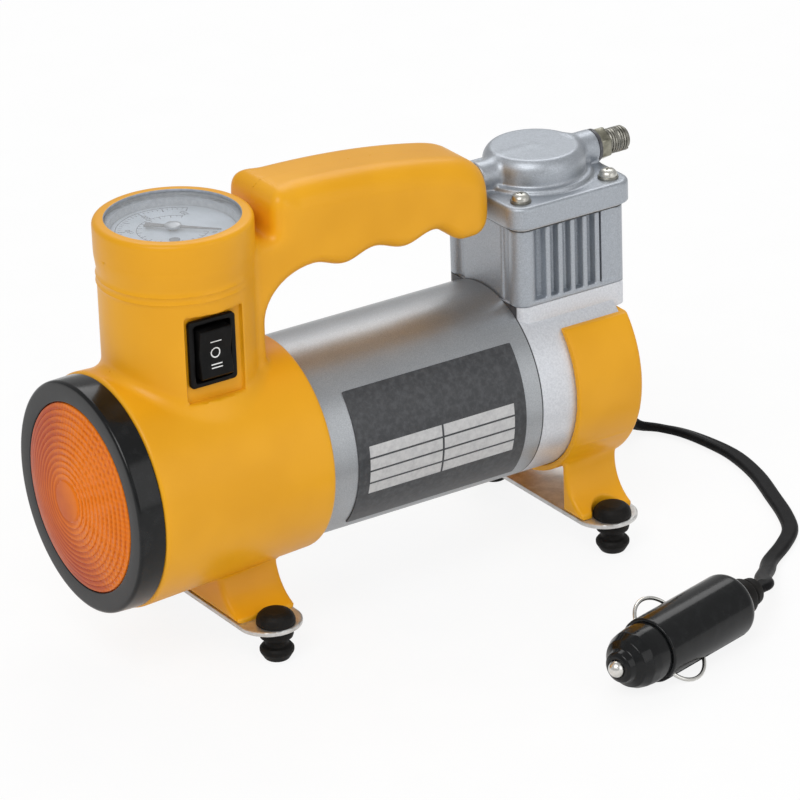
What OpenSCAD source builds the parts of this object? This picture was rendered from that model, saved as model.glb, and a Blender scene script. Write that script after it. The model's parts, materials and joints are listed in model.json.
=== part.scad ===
// Portable tire inflator: a direct-drive 12 volt piston compressor with a lamp, a gauge tower and a grip.
// Local frame: motor axis along Y at z = 0, joint between motor and crankcase at y = 0, floor at -axis_h.

/* [Motor] */
// Outside diameter of the motor can
motor_d = 62; // [56:1:68]
// Wall of the motor can
can_wall = 1.8; // [1.2:0.1:2.4]
// Length of the can that stays bare between the front housing and the crankcase
bare_can = 75; // [65:1:90]
// Length of the can held inside the front housing
can_hold = 17; // [14:1:20]
// Diameter of the motor shaft
shaft_d = 6; // [5:0.5:7]
// Length of the laminated core
core_len = 44; // [36:1:48]
// Thickness of the field magnets
magnet_t = 5.6; // [4:0.1:7]
// Air gap between magnets and core
air_gap = 0.6; // [0.4:0.1:1]
// Length of the commutator
comm_len = 10; // [8:1:12]
// Diameter of the commutator
comm_d = 17; // [14:0.5:19]

/* [Front housing] */
// Wall of the moulded housing
wall = 2.2; // [1.8:0.1:2.8]
// Length of the round barrel
barrel_len = 60; // [54:1:70]
// Diameter of the barrel at the lamp
barrel_front_d = 72; // [70:1:78]
// Diameter of the screws that join the two halves
case_screw_d = 3; // [2.5:0.5:3.5]

/* [Lamp] */
// Outside diameter of the lamp bezel
bezel_d = 71; // [68:1:74]
// Depth of the lamp bezel in front of the barrel
bezel_t = 8.3; // [6:0.1:11]
// Clear opening of the bezel
lens_open_d = 57.6; // [50:0.2:60]
// Height of the lens crown
lens_bulge = 3.7; // [2:0.1:6]
// Number of light-bending rings in the lens
lens_rings = 12; // [8:1:14]
// Diameter of the lamp bulb
bulb_d = 9; // [7:0.5:12]

/* [Gauge tower] */
// Diameter of the tower
tower_d = 46; // [46:0.5:50]
// Distance from the front of the barrel to the tower axis
tower_set = 28; // [27:0.5:31]
// Height of the tower top over the motor axis
tower_top = 71.5; // [69:0.5:76]
// Diameter of the ring on the tower
ring_d = 47.4; // [47:0.2:51]
// Height of the ring on the tower
ring_h = 8.9; // [8:0.1:11]
// Diameter of the gauge glass
glass_d = 41.2; // [39:0.2:41.2]
// Thickness of the gauge glass
glass_t = 1.2; // [0.8:0.1:1.6]
// Depth from the gauge glass down to the dial
dial_drop = 2.6; // [2.4:0.1:3.4]
// Length of the needle from its hub
needle_len = 14.6; // [11:0.2:16]

/* [Switch] */
// Height of the switch frame
switch_h = 21; // [19:0.5:23]
// Width of the switch frame
switch_w = 15.8; // [14:0.2:17]
// Height of the switch centre over the motor axis
switch_z = 45; // [43:0.5:47]
// Distance from the motor axis plane to the flat that holds the switch
switch_flat = 19.6; // [18.6:0.2:20.4]
// Depth of the switch body behind its frame
switch_deep = 16; // [13:0.5:18]
// Tilt of the rocker to each side
rocker_tilt = 10; // [7:1:11]

/* [Handle] */
// Width of the handle
handle_w = 28; // [24:1:32]
// Height of the handle top over the motor axis
handle_top = 84.3; // [82:0.5:90]
// Fall of the handle top from its nose to its end
handle_fall = 9; // [6:0.5:10]
// Radius along the edges of the handle
handle_r = 8; // [6:0.5:9]
// Spacing of the finger grooves
finger_pitch = 21.2; // [19:0.2:22]
// Depth of the finger grooves
finger_deep = 2.6; // [1:0.1:3.4]
// Height of the grip underside over the motor axis
grip_low = 56; // [54:0.5:58]

/* [Compressor] */
// Cylinder bore
bore_d = 30; // [27:0.5:31]
// Crank throw, half of the piston stroke
crank_throw = 5.5; // [4:0.1:5.8]
// Diameter of the crank pin
crank_pin_d = 8; // [6:0.5:9]
// Width of the cylinder block
block_w = 40; // [39:0.5:43]
// Height of the crankcase deck over the motor axis
deck_z = 29; // [27.5:0.5:30]
// Height of the top of the cylinder block over the motor axis
block_top = 53.6; // [53.4:0.2:56]
// Distance between the head screws
bolt_gap = 32; // [31.6:0.1:33]
// Diameter of the head screws
bolt_d = 3; // [3:0.5:4]
// Cooling fins on each side of the block
fin_count = 5; // [3:1:6]
// Thickness of one cooling fin
fin_t = 1.8; // [1.2:0.1:2.2]
// Width of the head plate
head_w = 44; // [43:0.5:47]
// Thickness of the head plate
head_t = 7; // [5:0.5:9]
// Diameter of the round cap on the head
cap_d = 31.4; // [28:0.2:33]
// Height of the round cap on the head
cap_h = 9.6; // [8:0.2:12]

/* [Air outlet] */
// Outside diameter of the outlet thread
thread_d = 8; // [7:0.5:9]
// Length of the outlet thread
thread_len = 7.6; // [7:0.1:14]
// Width across the flats of the outlet hexagon
hex_af = 9; // [8.5:0.5:10]
// Bore of the outlet
outlet_bore = 3.4; // [2.5:0.1:4]

/* [Crankcase and rear cover] */
// Length of the crankcase
case_len = 34.2; // [33:0.2:37]
// Wall of the crankcase
case_wall = 4.6; // [4:0.1:5.6]
// Wall of the rear cover
cover_wall = 1.9; // [1.5:0.1:2.4]
// Bare length of crankcase in front of the cover
cover_set = 12.4; // [10:0.2:16]
// Height of the cover edge over the motor axis
cover_edge = 21; // [17:0.5:21.5]

/* [Base] */
// Height of the motor axis over the floor
axis_h = 53; // [50:1:60]
// Length of the mounting straps
strap_len = 77.4; // [74:0.2:84]
// Width of the mounting straps
strap_w = 20; // [19:0.5:24]
// Thickness of the mounting straps
strap_t = 1.5; // [1:0.1:2]
// Depth of the strap top under the motor axis
strap_drop = 41.5; // [41:0.5:43]
// Distance from the end of a strap to the middle of its foot
foot_inset = 6.2; // [6:0.1:8]
// Diameter of the head of a foot
foot_d = 11.8; // [10:0.2:13]
// Diameter of the sole of a foot
sole_d = 10.4; // [9:0.2:12]
// Distance of the front strap screws from the middle plane
strap_screw_x = 14; // [12:0.5:16]

/* [Cord and plug] */
// Width of the flat twin cord
cord_w = 5.2; // [4.6:0.1:6]
// Thickness of the flat twin cord
cord_t = 2.8; // [2.4:0.1:3.2]
// Diameter of the plug barrel
plug_d = 20; // [19:0.5:21]
// Length of the plug barrel
plug_len = 40; // [36:1:48]
// Travel of the tip contact
tip_travel = 2.4; // [1.5:0.1:3]
// Travel of each side contact
side_travel = 1.6; // [1:0.1:2]
// Wire of the side contacts
side_wire = 1.2; // [0.8:0.1:1.5]

/* [Hidden] */
$fn = 96;

// Clearance of pieces that sit in each other, radial clearance of turning fits, and cut overlap
fit = 0.1;
run_fit = 0.03;
eps = 0.5;

yellow = "#E8A01C";
black = "#1B1B1D";
silver = "#A9AEB6";
steel = "#C9CBCD";
amber = "#E86A20";
brass = "#C8A24A";
copper = "#B5683A";

// Places along the motor axis
can_r = motor_d / 2;
barrel_rear_d = motor_d + 2 * (wall + fit);
y_rear = -bare_can;
y_front = y_rear - barrel_len;
y_bezel = y_front - bezel_t;
y_lens = y_bezel - lens_bulge;
y_tower = y_front + tower_set;
y_can = y_rear - can_hold;
y_cyl = block_w / 2;
washer_t = 1;
hex_t = 3.8;
y_boss = y_cyl + head_w / 2 - 1;
y_nut = y_boss + washer_t;
y_thread = y_nut + hex_t;
y_tip = y_thread + thread_len;
y_mid = (y_lens + y_tip) / 2;

// Pieces are drawn round the motor axis, then set over the floor
module place() {
    translate([0, -y_mid, axis_h]) children();
}

module along_y(d, y0, y1) {
    translate([0, y0, 0]) rotate([-90, 0, 0]) cylinder(d = d, h = y1 - y0);
}

module along_x(d, x0, x1) {
    translate([x0, 0, 0]) rotate([0, 90, 0]) cylinder(d = d, h = x1 - x0);
}

module ring_y(d_out, d_in, y0, y1) {
    difference() {
        along_y(d_out, y0, y1);
        along_y(d_in, y0 - eps, y1 + eps);
    }
}

module pan_screw(d, shank, head_d, head_h) {
    // Head above z = 0, shank below it
    difference() {
        union() {
            cylinder(d = head_d, h = head_h * 0.55);
            translate([0, 0, head_h * 0.55]) cylinder(d1 = head_d, d2 = head_d * 0.62, h = head_h * 0.45);
            translate([0, 0, -shank]) cylinder(d = d, h = shank + eps);
        }
        for (a = [0, 90]) {
            translate([0, 0, head_h]) rotate(a) cube([head_d * 0.6, 0.9, head_h], center = true);
        }
    }
}

// ---- Front housing -------------------------------------------------------

// Handle places
nose_gap = 3.5;
end_gap = 0.6;
y_nose = y_tower + tower_d / 2 + nose_gap;
y_grip_end = y_cyl - head_w / 2 - end_gap;
grip_len = y_grip_end - y_nose;
grip_floor = grip_low - 4;
y_groove = y_grip_end - 22;
y_first = y_groove - 2 * finger_pitch;
web_top = 44;
web_y = y_tower + tower_d / 2 - 0.4;
root_top = tower_top - 1;

function grip_top(t) = handle_top - handle_fall * pow(t, 2.4);
function under_z(y) = y <= y_groove
    ? grip_low + finger_deep * (1 + cos(360 * (y - y_groove) / finger_pitch)) / 2
    : grip_low + finger_deep - (finger_deep + grip_low - grip_floor)
        * (1 - cos(180 * min(1, (y - y_groove) / (finger_pitch / 2)))) / 2;

// Side outline of the handle with its finger grooves, moved inwards by c
function grip_under(c) = let (z_first = under_z(y_first)) concat(
    [[web_y - c, 30]],
    [for (a = [0:10:80])
        [web_y - c + (y_first - web_y + c) * (1 - cos(a)), web_top + c + (z_first - web_top) * sin(a)]],
    [for (k = [0:24]) let (y = y_first + (y_grip_end + eps - y_first) * k / 24) [y, under_z(y) + c]]);
function grip_over(c) = [for (k = [12:-1:0]) let (t = k / 12)
    [y_nose + c + t * (grip_len - 2 * c), grip_top(t) - c]];

module side_prism(w, points) {
    rotate([90, 0, 90]) translate([0, 0, -w / 2]) linear_extrude(w) polygon(points);
}

module grip_outer() {
    intersection() {
        side_prism(2 * handle_w, concat([[y_tower, handle_top + 9], [y_tower, 30]], grip_under(0),
            [[y_grip_end + eps, handle_top + 9]]));
        union() {
            hull() {
                for (t = [0, 0.3, 0.55, 0.78, 1], s = [-1, 1], top = [0, 1]) {
                    translate([s * (handle_w / 2 - handle_r),
                        y_nose + handle_r + t * (grip_len - 2 * handle_r),
                        top == 1 ? grip_top(t) - handle_r : grip_floor + handle_r])
                        sphere(handle_r, $fn = 24);
                }
            }
            translate([-handle_w / 2 + 0.05, y_tower, 30])
                cube([handle_w - 0.1, y_nose + 12 - y_tower, root_top - 30]);
        }
    }
}

module grip_inner() {
    // Two steps follow the round edges of the handle from inside
    for (step = [[handle_w - 2 * wall - handle_r, wall], [handle_w - 2 * wall, wall + handle_r / 2]]) {
        c = step[1];
        under = [for (q = grip_under(c)) if (q[1] < 31 || q[0] < y_grip_end - c) q];
        side_prism(step[0], concat([[y_tower, root_top - wall], [y_tower, 30]], under,
            [[y_grip_end - c, under_z(y_grip_end) + c]], grip_over(c), [[y_nose + c, root_top - wall]]));
    }
}

// Legs flare outwards to the straps
flare_r = 13;
flare_z = -27.6;
foot_x = strap_len / 2 - foot_inset;
leg_tip = foot_x - 5.3;
leg_top = -18;
front_flare_x = foot_x - 1.9;
rear_flare_x = foot_x + 2.8;
rear_leg_tip = foot_x - 2;
leg_len = strap_w + 0.5;
y_strap_front = y_tower + 9.2;
y_leg_front = y_strap_front - strap_w / 2;
y_strap_rear = cover_set + 11.6;
rear_leg_in = foot_x - 12.3;
rear_screw_x = foot_x - 9.5;
pilot_deep = 5;
strap_top = -strap_drop;

module flares(x, y0, y1, r) {
    for (s = [-1, 1]) {
        translate([s * x, 0, flare_z]) along_y(2 * r, y0, y1);
    }
}

module foot_notches(y) {
    for (s = [-1, 1]) {
        translate([s * foot_x, y, strap_top - eps]) cylinder(d = foot_d + 0.8, h = 9);
    }
}

module front_leg() {
    difference() {
        translate([-leg_tip, y_leg_front, strap_top]) cube([2 * leg_tip, leg_len, leg_top - strap_top]);
        flares(front_flare_x, y_leg_front - eps, y_leg_front + leg_len + eps, flare_r);
        foot_notches(y_strap_front);
    }
}

module strap_pilots(x, y) {
    for (s = [-1, 1]) {
        translate([s * x, y, strap_top - eps]) cylinder(d = 2.4, h = pilot_deep + eps, $fn = 24);
    }
}

tower_in = tower_d - 2 * wall;
ring_top = tower_top + ring_h;
lip_t = 0.8;
glass_z = ring_top - lip_t - glass_t;
case_h = 13.4;
case_d = glass_d - 2 * fit;
case_z = glass_z - case_h;
band_z = tower_top - 10;
band_h = 4;
ledge_t = 2.2;

// Screw bosses across the two halves, as [y, z]
boss_d = 7.4;
bosses = [
    [y_tower + 2, -29],
    [y_can - 9, 26],
    [y_nose + 6.5, handle_top - 9],
    [y_grip_end - 12, grip_low + 3.5],
    [y_tower - 15, tower_top - 22]];

module barrel(c, over) {
    translate([0, y_front - over, 0]) rotate([-90, 0, 0])
        cylinder(d1 = barrel_front_d - 2 * c, d2 = barrel_rear_d - 2 * c, h = barrel_len + 2 * over);
}

module housing_outer() {
    barrel(0, 0);
    translate([0, y_tower, 0]) cylinder(d = tower_d, h = tower_top);
    translate([0, y_tower, band_z]) cylinder(d = tower_d + 1.2, h = band_h);
    grip_outer();
    front_leg();
}

module housing_inner() {
    barrel(wall, eps);
    translate([0, y_tower, 0]) cylinder(d = tower_in, h = tower_top + eps);
    grip_inner();
    // Pockets in the leg, clear of the screw bosses
    translate([-strap_screw_x + 5, y_leg_front + wall, strap_top - eps])
        cube([2 * strap_screw_x - 10, leg_len - 2 * wall, 12]);
}

module gauge_ledge() {
    // Shelf and collar that carry the gauge case
    translate([0, y_tower, case_z - ledge_t]) difference() {
        cylinder(d = tower_in + 1, h = tower_top - case_z + ledge_t);
        translate([0, 0, ledge_t]) cylinder(d = case_d + 6 * fit, h = tower_top);
        translate([0, 0, -eps]) cylinder(d = case_d - 7, h = tower_top);
    }
}

switch_body_h = switch_h - 1.4;
switch_body_w = switch_w - 1.8;
y_switch = y_tower - 1;
frame_t = 1.8;
pocket_w = 19.2;
pocket_low = switch_z - switch_h / 2 - 4.6;
pocket_high = switch_z + switch_h / 2 + 1.6;

module switch_cuts() {
    // Flat pocket in the tower side, then the hole for the switch body
    translate([switch_flat, y_tower - pocket_w / 2, pocket_low])
        cube([tower_d, pocket_w, pocket_high - pocket_low]);
    translate([0, y_switch - switch_body_w / 2 - fit, switch_z - switch_body_h / 2 - fit])
        cube([tower_d, switch_body_w + 2 * fit, switch_body_h + 2 * fit]);
}

module switch_wall() {
    // Flat wall behind the pocket
    translate([switch_flat - wall, y_tower - pocket_w / 2 - wall, pocket_low - wall])
        cube([wall, pocket_w + 2 * wall, pocket_high - pocket_low + 2 * wall]);
    translate([switch_flat - wall, y_tower - pocket_w / 2, pocket_low - wall])
        cube([wall + 2, pocket_w, wall]);
}

head_in = 6.5;

// Depth at which the heads of the case screws seat
screw_seat = 7;
spigot_len = 4;

module housing_half(s) {
    intersection() {
        difference() {
            union() {
                difference() {
                    housing_outer();
                    housing_inner();
                }
                intersection() {
                    housing_outer();
                    union() {
                        gauge_ledge();
                        for (b = bosses) {
                            translate([0, b[0], b[1]]) along_x(boss_d, -motor_d, motor_d);
                        }
                        if (s > 0) switch_wall();
                    }
                }
            }
            if (s > 0) switch_cuts();
            for (b = bosses) {
                translate([0, b[0], b[1]]) {
                    if (s > 0) along_x(case_screw_d - 0.5, -1, 8);
                    if (s < 0) along_x(case_screw_d + 0.4, -motor_d, 1);
                    if (s < 0) along_x(head_in + 0.4, -motor_d, -screw_seat);
                }
            }
            strap_pilots(strap_screw_x, y_strap_front);
            // Hole for the air tube
            translate([0, 0, z_port]) along_y(tube_d + 0.8, y_grip_end - 2 * handle_r, y_grip_end + eps);
            // Collar room for the lamp bezel
            along_y(barrel_front_d - 2 * wall + 0.02, y_front - eps, y_front + spigot_len + 0.4);
        }
        translate([s > 0 ? 0 : -motor_d, y_front - 1, -axis_h]) cube([motor_d, 200 + barrel_len, 200]);
    }
}

module housing_right() {
    color(yellow) place() housing_half(1);
}

module housing_left() {
    color(yellow) place() housing_half(-1);
}

module housing_screws() {
    color(steel) place() for (b = bosses) {
        translate([-screw_seat, b[0], b[1]]) rotate([0, -90, 0])
            pan_screw(case_screw_d - 0.5, screw_seat + 6, 6, 2.2);
    }
}

// ---- Lamp ------------------------------------------------------------------

spigot_d = barrel_front_d - 2 * wall - 0.3;
lens_flange_d = (lens_open_d + spigot_d) / 2 + 0.4;
lip_depth = 1.6;
flange_t = 1.6;

module turned_y(y0) {
    // Turns an outline of [radius, depth] round the motor axis, depth measured backwards from y0
    translate([0, y0, 0]) rotate([-90, 0, 0]) rotate_extrude() children();
}

module lamp_bezel() {
    r = bezel_d / 2;
    ri = lens_open_d / 2 + 0.2;
    rim = r - ri;
    color(black) place() turned_y(y_bezel) polygon([
        [ri, 0.3], [ri + 0.07 * rim, 0], [r - 0.43 * rim, 0], [r - 0.2 * rim, 0.4], [r - 0.07 * rim, 1.2],
        [r, 2.4], [r, bezel_t],
        [spigot_d / 2, bezel_t], [spigot_d / 2, bezel_t + spigot_len],
        [lens_flange_d / 2 + 0.2, bezel_t + spigot_len], [lens_flange_d / 2 + 0.2, lip_depth],
            [ri, lip_depth]]);
}

function lens_y(r) = lens_bulge * (1 - pow(2 * r / lens_open_d, 2));

module lamp_lens() {
    r0 = lens_open_d / 2;
    r_disc = 6.6;
    step = (r0 - r_disc) / lens_rings;
    crest = [for (k = [0:lens_rings - 1], h = [0, 1]) let (r = r_disc + (k + 0.85 * h) * step)
        [r, -lens_y(r) + (h == 0 ? 0.35 : 0)]];
    color(amber, 0.9) place() turned_y(y_bezel) polygon(concat(
        [[0, -lens_bulge], [r_disc - 0.3, -lens_y(r_disc)]], crest,
        [[r0, 0.5], [r0, lip_depth], [lens_flange_d / 2, lip_depth],
            [lens_flange_d / 2, lip_depth + flange_t],
            [r0 - 1, lip_depth + flange_t], [0, lip_depth + flange_t - lens_bulge]]));
}

bulb_back = 12;
neck_r = 7;
reflector_back = 15.5;
reflector_y = y_bezel + lip_depth + flange_t;

module lamp_reflector() {
    r0 = lens_flange_d / 2;
    bowl = [for (k = [0:10]) let (t = k / 10, r = r0 - 2.4 - (r0 - 2.4 - neck_r) * t)
        [r, reflector_back * sqrt(t)]];
    bowl_in = [for (k = [10:-1:0]) bowl[k]];
    color(steel) place() turned_y(reflector_y) polygon(concat(
        [[r0, 0], [r0, 1.2]], [for (p = bowl) [p[0] + 1, p[1] + 1.2]],
        [[neck_r + 1, reflector_back + 4], [neck_r, reflector_back + 4]], bowl_in));
}

module lamp_bulb() {
    color("white", 0.6) place() turned_y(reflector_y) difference() {
        union() {
            translate([0, bulb_back]) circle(d = bulb_d);
            translate([0, bulb_back]) square([bulb_d * 0.35, 12]);
        }
        translate([-bulb_d, -eps]) square([bulb_d, 60]);
    }
}

module bulb_holder() {
    y0 = reflector_y + bulb_back + 5;
    y1 = reflector_y + reflector_back + 11;
    color(black) place() difference() {
        union() {
            along_y(2 * neck_r - 0.2, y0, y1);
            along_y(2 * neck_r + 6, reflector_y + reflector_back + 4, y1);
        }
        along_y(bulb_d * 0.7, y0 - eps, reflector_y + bulb_back + 12);
    }
}

// ---- Pressure gauge ----------------------------------------------------------

z_port = block_top + 1.4 + head_t + 4;
tube_d = 5.2;
barb_d = 3;
lip_d = glass_d - 1.2;
dial_z = glass_z - dial_drop;
dial_t = 0.5;
dial_r = case_d / 2 - 2.1;
case_floor = 1.6;
spindle_d = 1.54;
stem_y = 12;
z_stem = case_z - 5;
needle_z = dial_z + 0.8;
needle_rest = 43.8;

module at_gauge(z) {
    translate([0, y_tower, z]) children();
}

module gauge_ring() {
    r = ring_d / 2;
    ri = glass_d / 2 + 3 * fit;
    lip = lip_d / 2;
    color(yellow) place() at_gauge(tower_top) rotate_extrude() polygon([
        [ri, 0], [r, 0], [r, ring_h - 3.2], [r - 0.3, ring_h - 2], [r - 1, ring_h - 0.9],
            [r - 2, ring_h - 0.2],
        [r - 2.8, ring_h], [lip + 0.3, ring_h], [lip, ring_h - 0.3], [lip, ring_h - lip_t],
            [ri, ring_h - lip_t]]);
}

module gauge_case() {
    r = case_d / 2;
    shelf = dial_z - dial_t - case_z;
    color("#D5D8DB") place() at_gauge(case_z) difference() {
        rotate_extrude() polygon([[0, 0], [r, 0], [r, case_h], [dial_r + 0.2, case_h],
            [dial_r + 0.2, shelf],
            [dial_r - 1.2, shelf], [dial_r - 1.2, case_floor], [0, case_floor]]);
        translate([0, stem_y, -eps]) cylinder(d = 7.4, h = case_floor + 2 * eps);
    }
}

module gauge_dial() {
    color("white") place() at_gauge(dial_z - dial_t) difference() {
        cylinder(r = dial_r, h = dial_t);
        translate([0, 0, -eps]) cylinder(d = 2.6, h = dial_t + 2 * eps);
    }
}

module gauge_needle() {
    color(black) place() at_gauge(needle_z) {
        cylinder(d = 5, h = 0.9);
        translate([0, 0, case_z + case_floor + 3 - needle_z])
            cylinder(d = spindle_d, h = needle_z - case_z - 4);
        rotate(needle_rest) linear_extrude(0.5)
            polygon([[-8.6, -0.9], [-8.6, 0.9], [0, 0.8], [needle_len, 0.2], [needle_len, -0.2],
                [0, -0.8]]);
    }
}

module gauge_glass() {
    color("white", 0.3) place() at_gauge(glass_z) cylinder(d = glass_d, h = glass_t);
}

module bourdon_tube() {
    coil_r = 12;
    coil_low = case_z + case_floor + 1.4;
    coil_h = 5;
    foot_z = case_z + case_floor;
    post_top = dial_z - dial_t - 0.3;
    color(brass) place() at_gauge(0) difference() {
        union() {
            // Curved tube from the stem round to its free end
            rotate(86) rotate_extrude(angle = 270) translate([coil_r, coil_low]) {
                translate([-0.9, 0.9]) square([1.8, coil_h - 1.8]);
                for (z = [0.9, coil_h - 0.9]) {
                    translate([0, z]) circle(d = 1.8, $fn = 24);
                }
            }
            // Stem with the nipple for the air tube
            translate([0, stem_y, z_stem - 3.5]) cylinder(d = 7, h = coil_low + coil_h - z_stem + 3.5);
            translate([0, stem_y, z_stem]) along_y(barb_d, 0, 8.5);
            // Foot plate and post that carry the spindle
            translate([-2.5, -2.5, foot_z]) cube([5, stem_y + 2.5, 1.2]);
            translate([0, 0, foot_z]) cylinder(d = 5, h = post_top - foot_z);
        }
        translate([0, 0, case_z + case_floor + 2.5]) cylinder(d = spindle_d + 2 * run_fit, h = 20);
        // Way for the air
        translate([0, stem_y, z_stem]) along_y(1.4, 0, 10);
        translate([0, stem_y, z_stem - 0.7]) cylinder(d = 1.4, h = coil_low - z_stem + 3);
    }
}

// Air tube: level along the handle, then an S bend down to the gauge stem
y_tube_end = y_cyl - head_w / 2 + 0.4;
y_tube_start = y_tower + stem_y + 3.8;

module air_tube() {
    s_bend = [for (k = [0:6])
        [0, y_tube_start + 5 + 22 * k / 6, z_stem + (z_port - z_stem) * (1 - cos(30 * k)) / 2]];
    path = concat([[0, y_tube_start, z_stem]], s_bend, [[0, y_tube_end, z_port]]);
    sec = [for (a = [0:36:324]) tube_d / 2 * [cos(a), sin(a)]];
    color(black) place() difference() {
        sweep(path, [for (q = path) [1, 0, 0]], sec);
        translate([0, 0, z_stem]) along_y(barb_d + 0.1, y_tube_start - eps, y_tube_start + 4.9);
        translate([0, 0, z_port]) along_y(barb_d + 0.1, y_tube_end - 7.2, y_tube_end + eps);
    }
}

// ---- Switch ------------------------------------------------------------------

rocker_x = switch_flat - 2.4;
hole_h = switch_h - 3;
hole_w = switch_w - 3.4;
pivot_d = 2.4;
blades = [-6.2, 0, 6.2];
blade_out = 7;

module at_switch() {
    translate([rocker_x, y_switch, switch_z]) children();
}

module switch_body() {
    x_back = switch_flat - switch_deep - rocker_x;
    color(black) place() at_switch() difference() {
        union() {
            translate([switch_flat - rocker_x, -switch_w / 2, -switch_h / 2])
                cube([frame_t, switch_w, switch_h]);
            translate([x_back, -switch_body_w / 2, -switch_body_h / 2])
                cube([switch_flat - rocker_x - x_back + 0.01, switch_body_w, switch_body_h]);
        }
        translate([-5.8, -hole_w / 2, -hole_h / 2]) cube([20, hole_w, hole_h]);
        along_y(pivot_d + 2 * run_fit, -switch_w, switch_w);
        for (z = blades) {
            translate([x_back - eps, -2.5, z - 0.5]) cube([4 + eps, 5, 1]);
        }
    }
}

module switch_rocker() {
    h = hole_h / 2 - 1.2;
    face_x = 5.2 + (h - 0.6) * tan(rocker_tilt);
    side = [[-4, 3], [0, h], [face_x - 0.4, h], [face_x, h - 0.6], [5.2, 0]];
    low = [for (k = [3:-1:0]) [side[k][0], -side[k][1]]];
    w = hole_w - 0.6;
    color(black) place() at_switch() {
        rotate([90, 0, 0]) translate([0, 0, -w / 2]) linear_extrude(w) polygon(concat(side, low));
        along_y(pivot_d, -hole_w / 2 - 0.7, hole_w / 2 + 0.7);
    }
}

module switch_terminals() {
    x_back = switch_flat - switch_deep;
    color(brass) place() for (z = blades) {
        translate([x_back - blade_out, y_switch - 2.4, switch_z + z - 0.4])
            cube([blade_out + 3.9, 4.8, 0.8]);
    }
}

// ---- Motor ---------------------------------------------------------------------

can_in = motor_d - 2 * can_wall;
core_d = can_in - 2 * (magnet_t + air_gap);
core_y = y_can + 24;
magnet_over = 4;
comm_y = y_can + 5;
brush_y = comm_y + comm_len / 2;
brush_w = 6;
brush_h = 5;
bell_hub = 6;
bell_t = 2;
slot_count = 10;
slot_r = core_d / 2 - 6.6;
slot_d = 5.6;
end_turn = 5.5;

module motor_can() {
    color(silver) place() ring_y(motor_d, can_in, y_can, 0);
}

module motor_magnets() {
    r = can_in / 2 - fit;
    spread = 124;
    color("#4A4744") place() for (a = [0, 180]) {
        translate([0, core_y - magnet_over, 0]) rotate([-90, 0, 0]) rotate(a - spread / 2)
            rotate_extrude(angle = spread)
                translate([core_d / 2 + air_gap, 0])
                    square([r - core_d / 2 - air_gap, core_len + 2 * magnet_over]);
    }
}

module motor_end_bell() {
    hub_r = shaft_d / 2 + 4;
    color(silver) place() translate([0, y_can, 0]) rotate([-90, 0, 0]) difference() {
        rotate_extrude() polygon([
            [shaft_d / 2 + run_fit, -bell_hub], [hub_r, -bell_hub], [hub_r, -bell_t], [can_r, -bell_t],
            [can_r, 0], [can_in / 2 - fit, 0], [can_in / 2 - fit, 1.6], [can_in / 2 - 2, 1.6],
            [can_in / 2 - 2, 0], [hub_r, 0], [hub_r, 1.5], [shaft_d / 2 + run_fit, 1.5]]);
        // Holes for the two lead wires
        for (s = [-1, 1]) {
            translate([s * wire_x, -wire_z, -4]) cylinder(d = wire_d + 0.8, h = 8, $fn = 24);
        }
    }
}

wire_d = 2.2;
wire_x = 1.6;
wire_z = -(core_d / 2 + 1.9);

module brush_holder() {
    board_y = y_can + 2;
    box_y = brush_y - brush_w / 2 - 1.2;
    color("#5A3A22") place() difference() {
        union() {
            ring_y(can_in - 2 * fit, comm_d + 4, board_y, board_y + 2);
            for (s = [-1, 1]) {
                translate([s > 0 ? comm_d / 2 + 2 : -core_d / 2, board_y + 1, -brush_h / 2 - 1.2])
                    cube([core_d / 2 - comm_d / 2 - 2, box_y + brush_w + 2.4 - board_y - 1, brush_h + 2.4]);
            }
        }
        translate([-core_d, brush_y - brush_w / 2 - fit, -brush_h / 2 - fit])
            cube([2 * core_d, brush_w + 2 * fit, brush_h + 2 * fit]);
        for (s = [-1, 1]) {
            translate([s * wire_x, 0, wire_z]) along_y(wire_d + 0.8, board_y - eps, board_y + 3);
        }
    }
}

module carbon_brushes() {
    color("#2B2B2E") place() for (s = [0, 1]) {
        mirror([s, 0, 0]) difference() {
            translate([0, brush_y - brush_w / 2, -brush_h / 2]) cube([core_d / 2 - 3, brush_w, brush_h]);
            along_y(comm_d + 0.5, comm_y - 5, comm_y + comm_len + 5);
        }
    }
}

module motor_shaft() {
    color(steel) place() along_y(shaft_d, y_can - bell_hub + 0.5, disc_y1);
}

module armature_core() {
    color("#6C6F75") place() translate([0, core_y, 0]) rotate([-90, 0, 0]) linear_extrude(core_len)
        difference() {
        circle(d = core_d);
        circle(d = shaft_d);
        for (a = [0:slot_count - 1]) {
            rotate((a + 0.5) * 360 / slot_count) {
                translate([slot_r, 0]) circle(d = slot_d, $fn = 32);
                translate([slot_r, -1]) square([core_d, 2]);
            }
        }
    }
}

module armature_windings() {
    color(copper) place() translate([0, core_y, 0]) rotate([-90, 0, 0]) {
        for (s = [0, 1]) {
            translate([0, 0, s * core_len]) mirror([0, 0, 1 - s]) rotate_extrude() polygon([
                [shaft_d / 2 + 1.5, 0], [slot_r + slot_d / 2, 0], [slot_r + slot_d / 2, 1.5],
                [slot_r, end_turn], [shaft_d / 2 + 1.5, end_turn]]);
        }
        for (a = [0:slot_count - 1]) {
            rotate((a + 0.5) * 360 / slot_count) translate([slot_r, 0, -eps])
                cylinder(d = slot_d - 0.2, h = core_len + 2 * eps, $fn = 32);
        }
    }
}

module commutator() {
    color(copper) place() translate([0, comm_y, 0]) rotate([-90, 0, 0]) linear_extrude(comm_len)
        difference() {
        circle(d = comm_d);
        circle(d = shaft_d);
        for (a = [0:slot_count - 1]) {
            rotate(a * 360 / slot_count) translate([comm_d / 2 - 0.9, -0.3]) square([2, 0.6]);
        }
    }
}

// Sticker on the can
label_y0 = y_rear + 9;
label_y1 = -6;
label_up = 42.5;
label_down = 44;
label_t = 0.3;
glue_t = 0.05;

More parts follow.
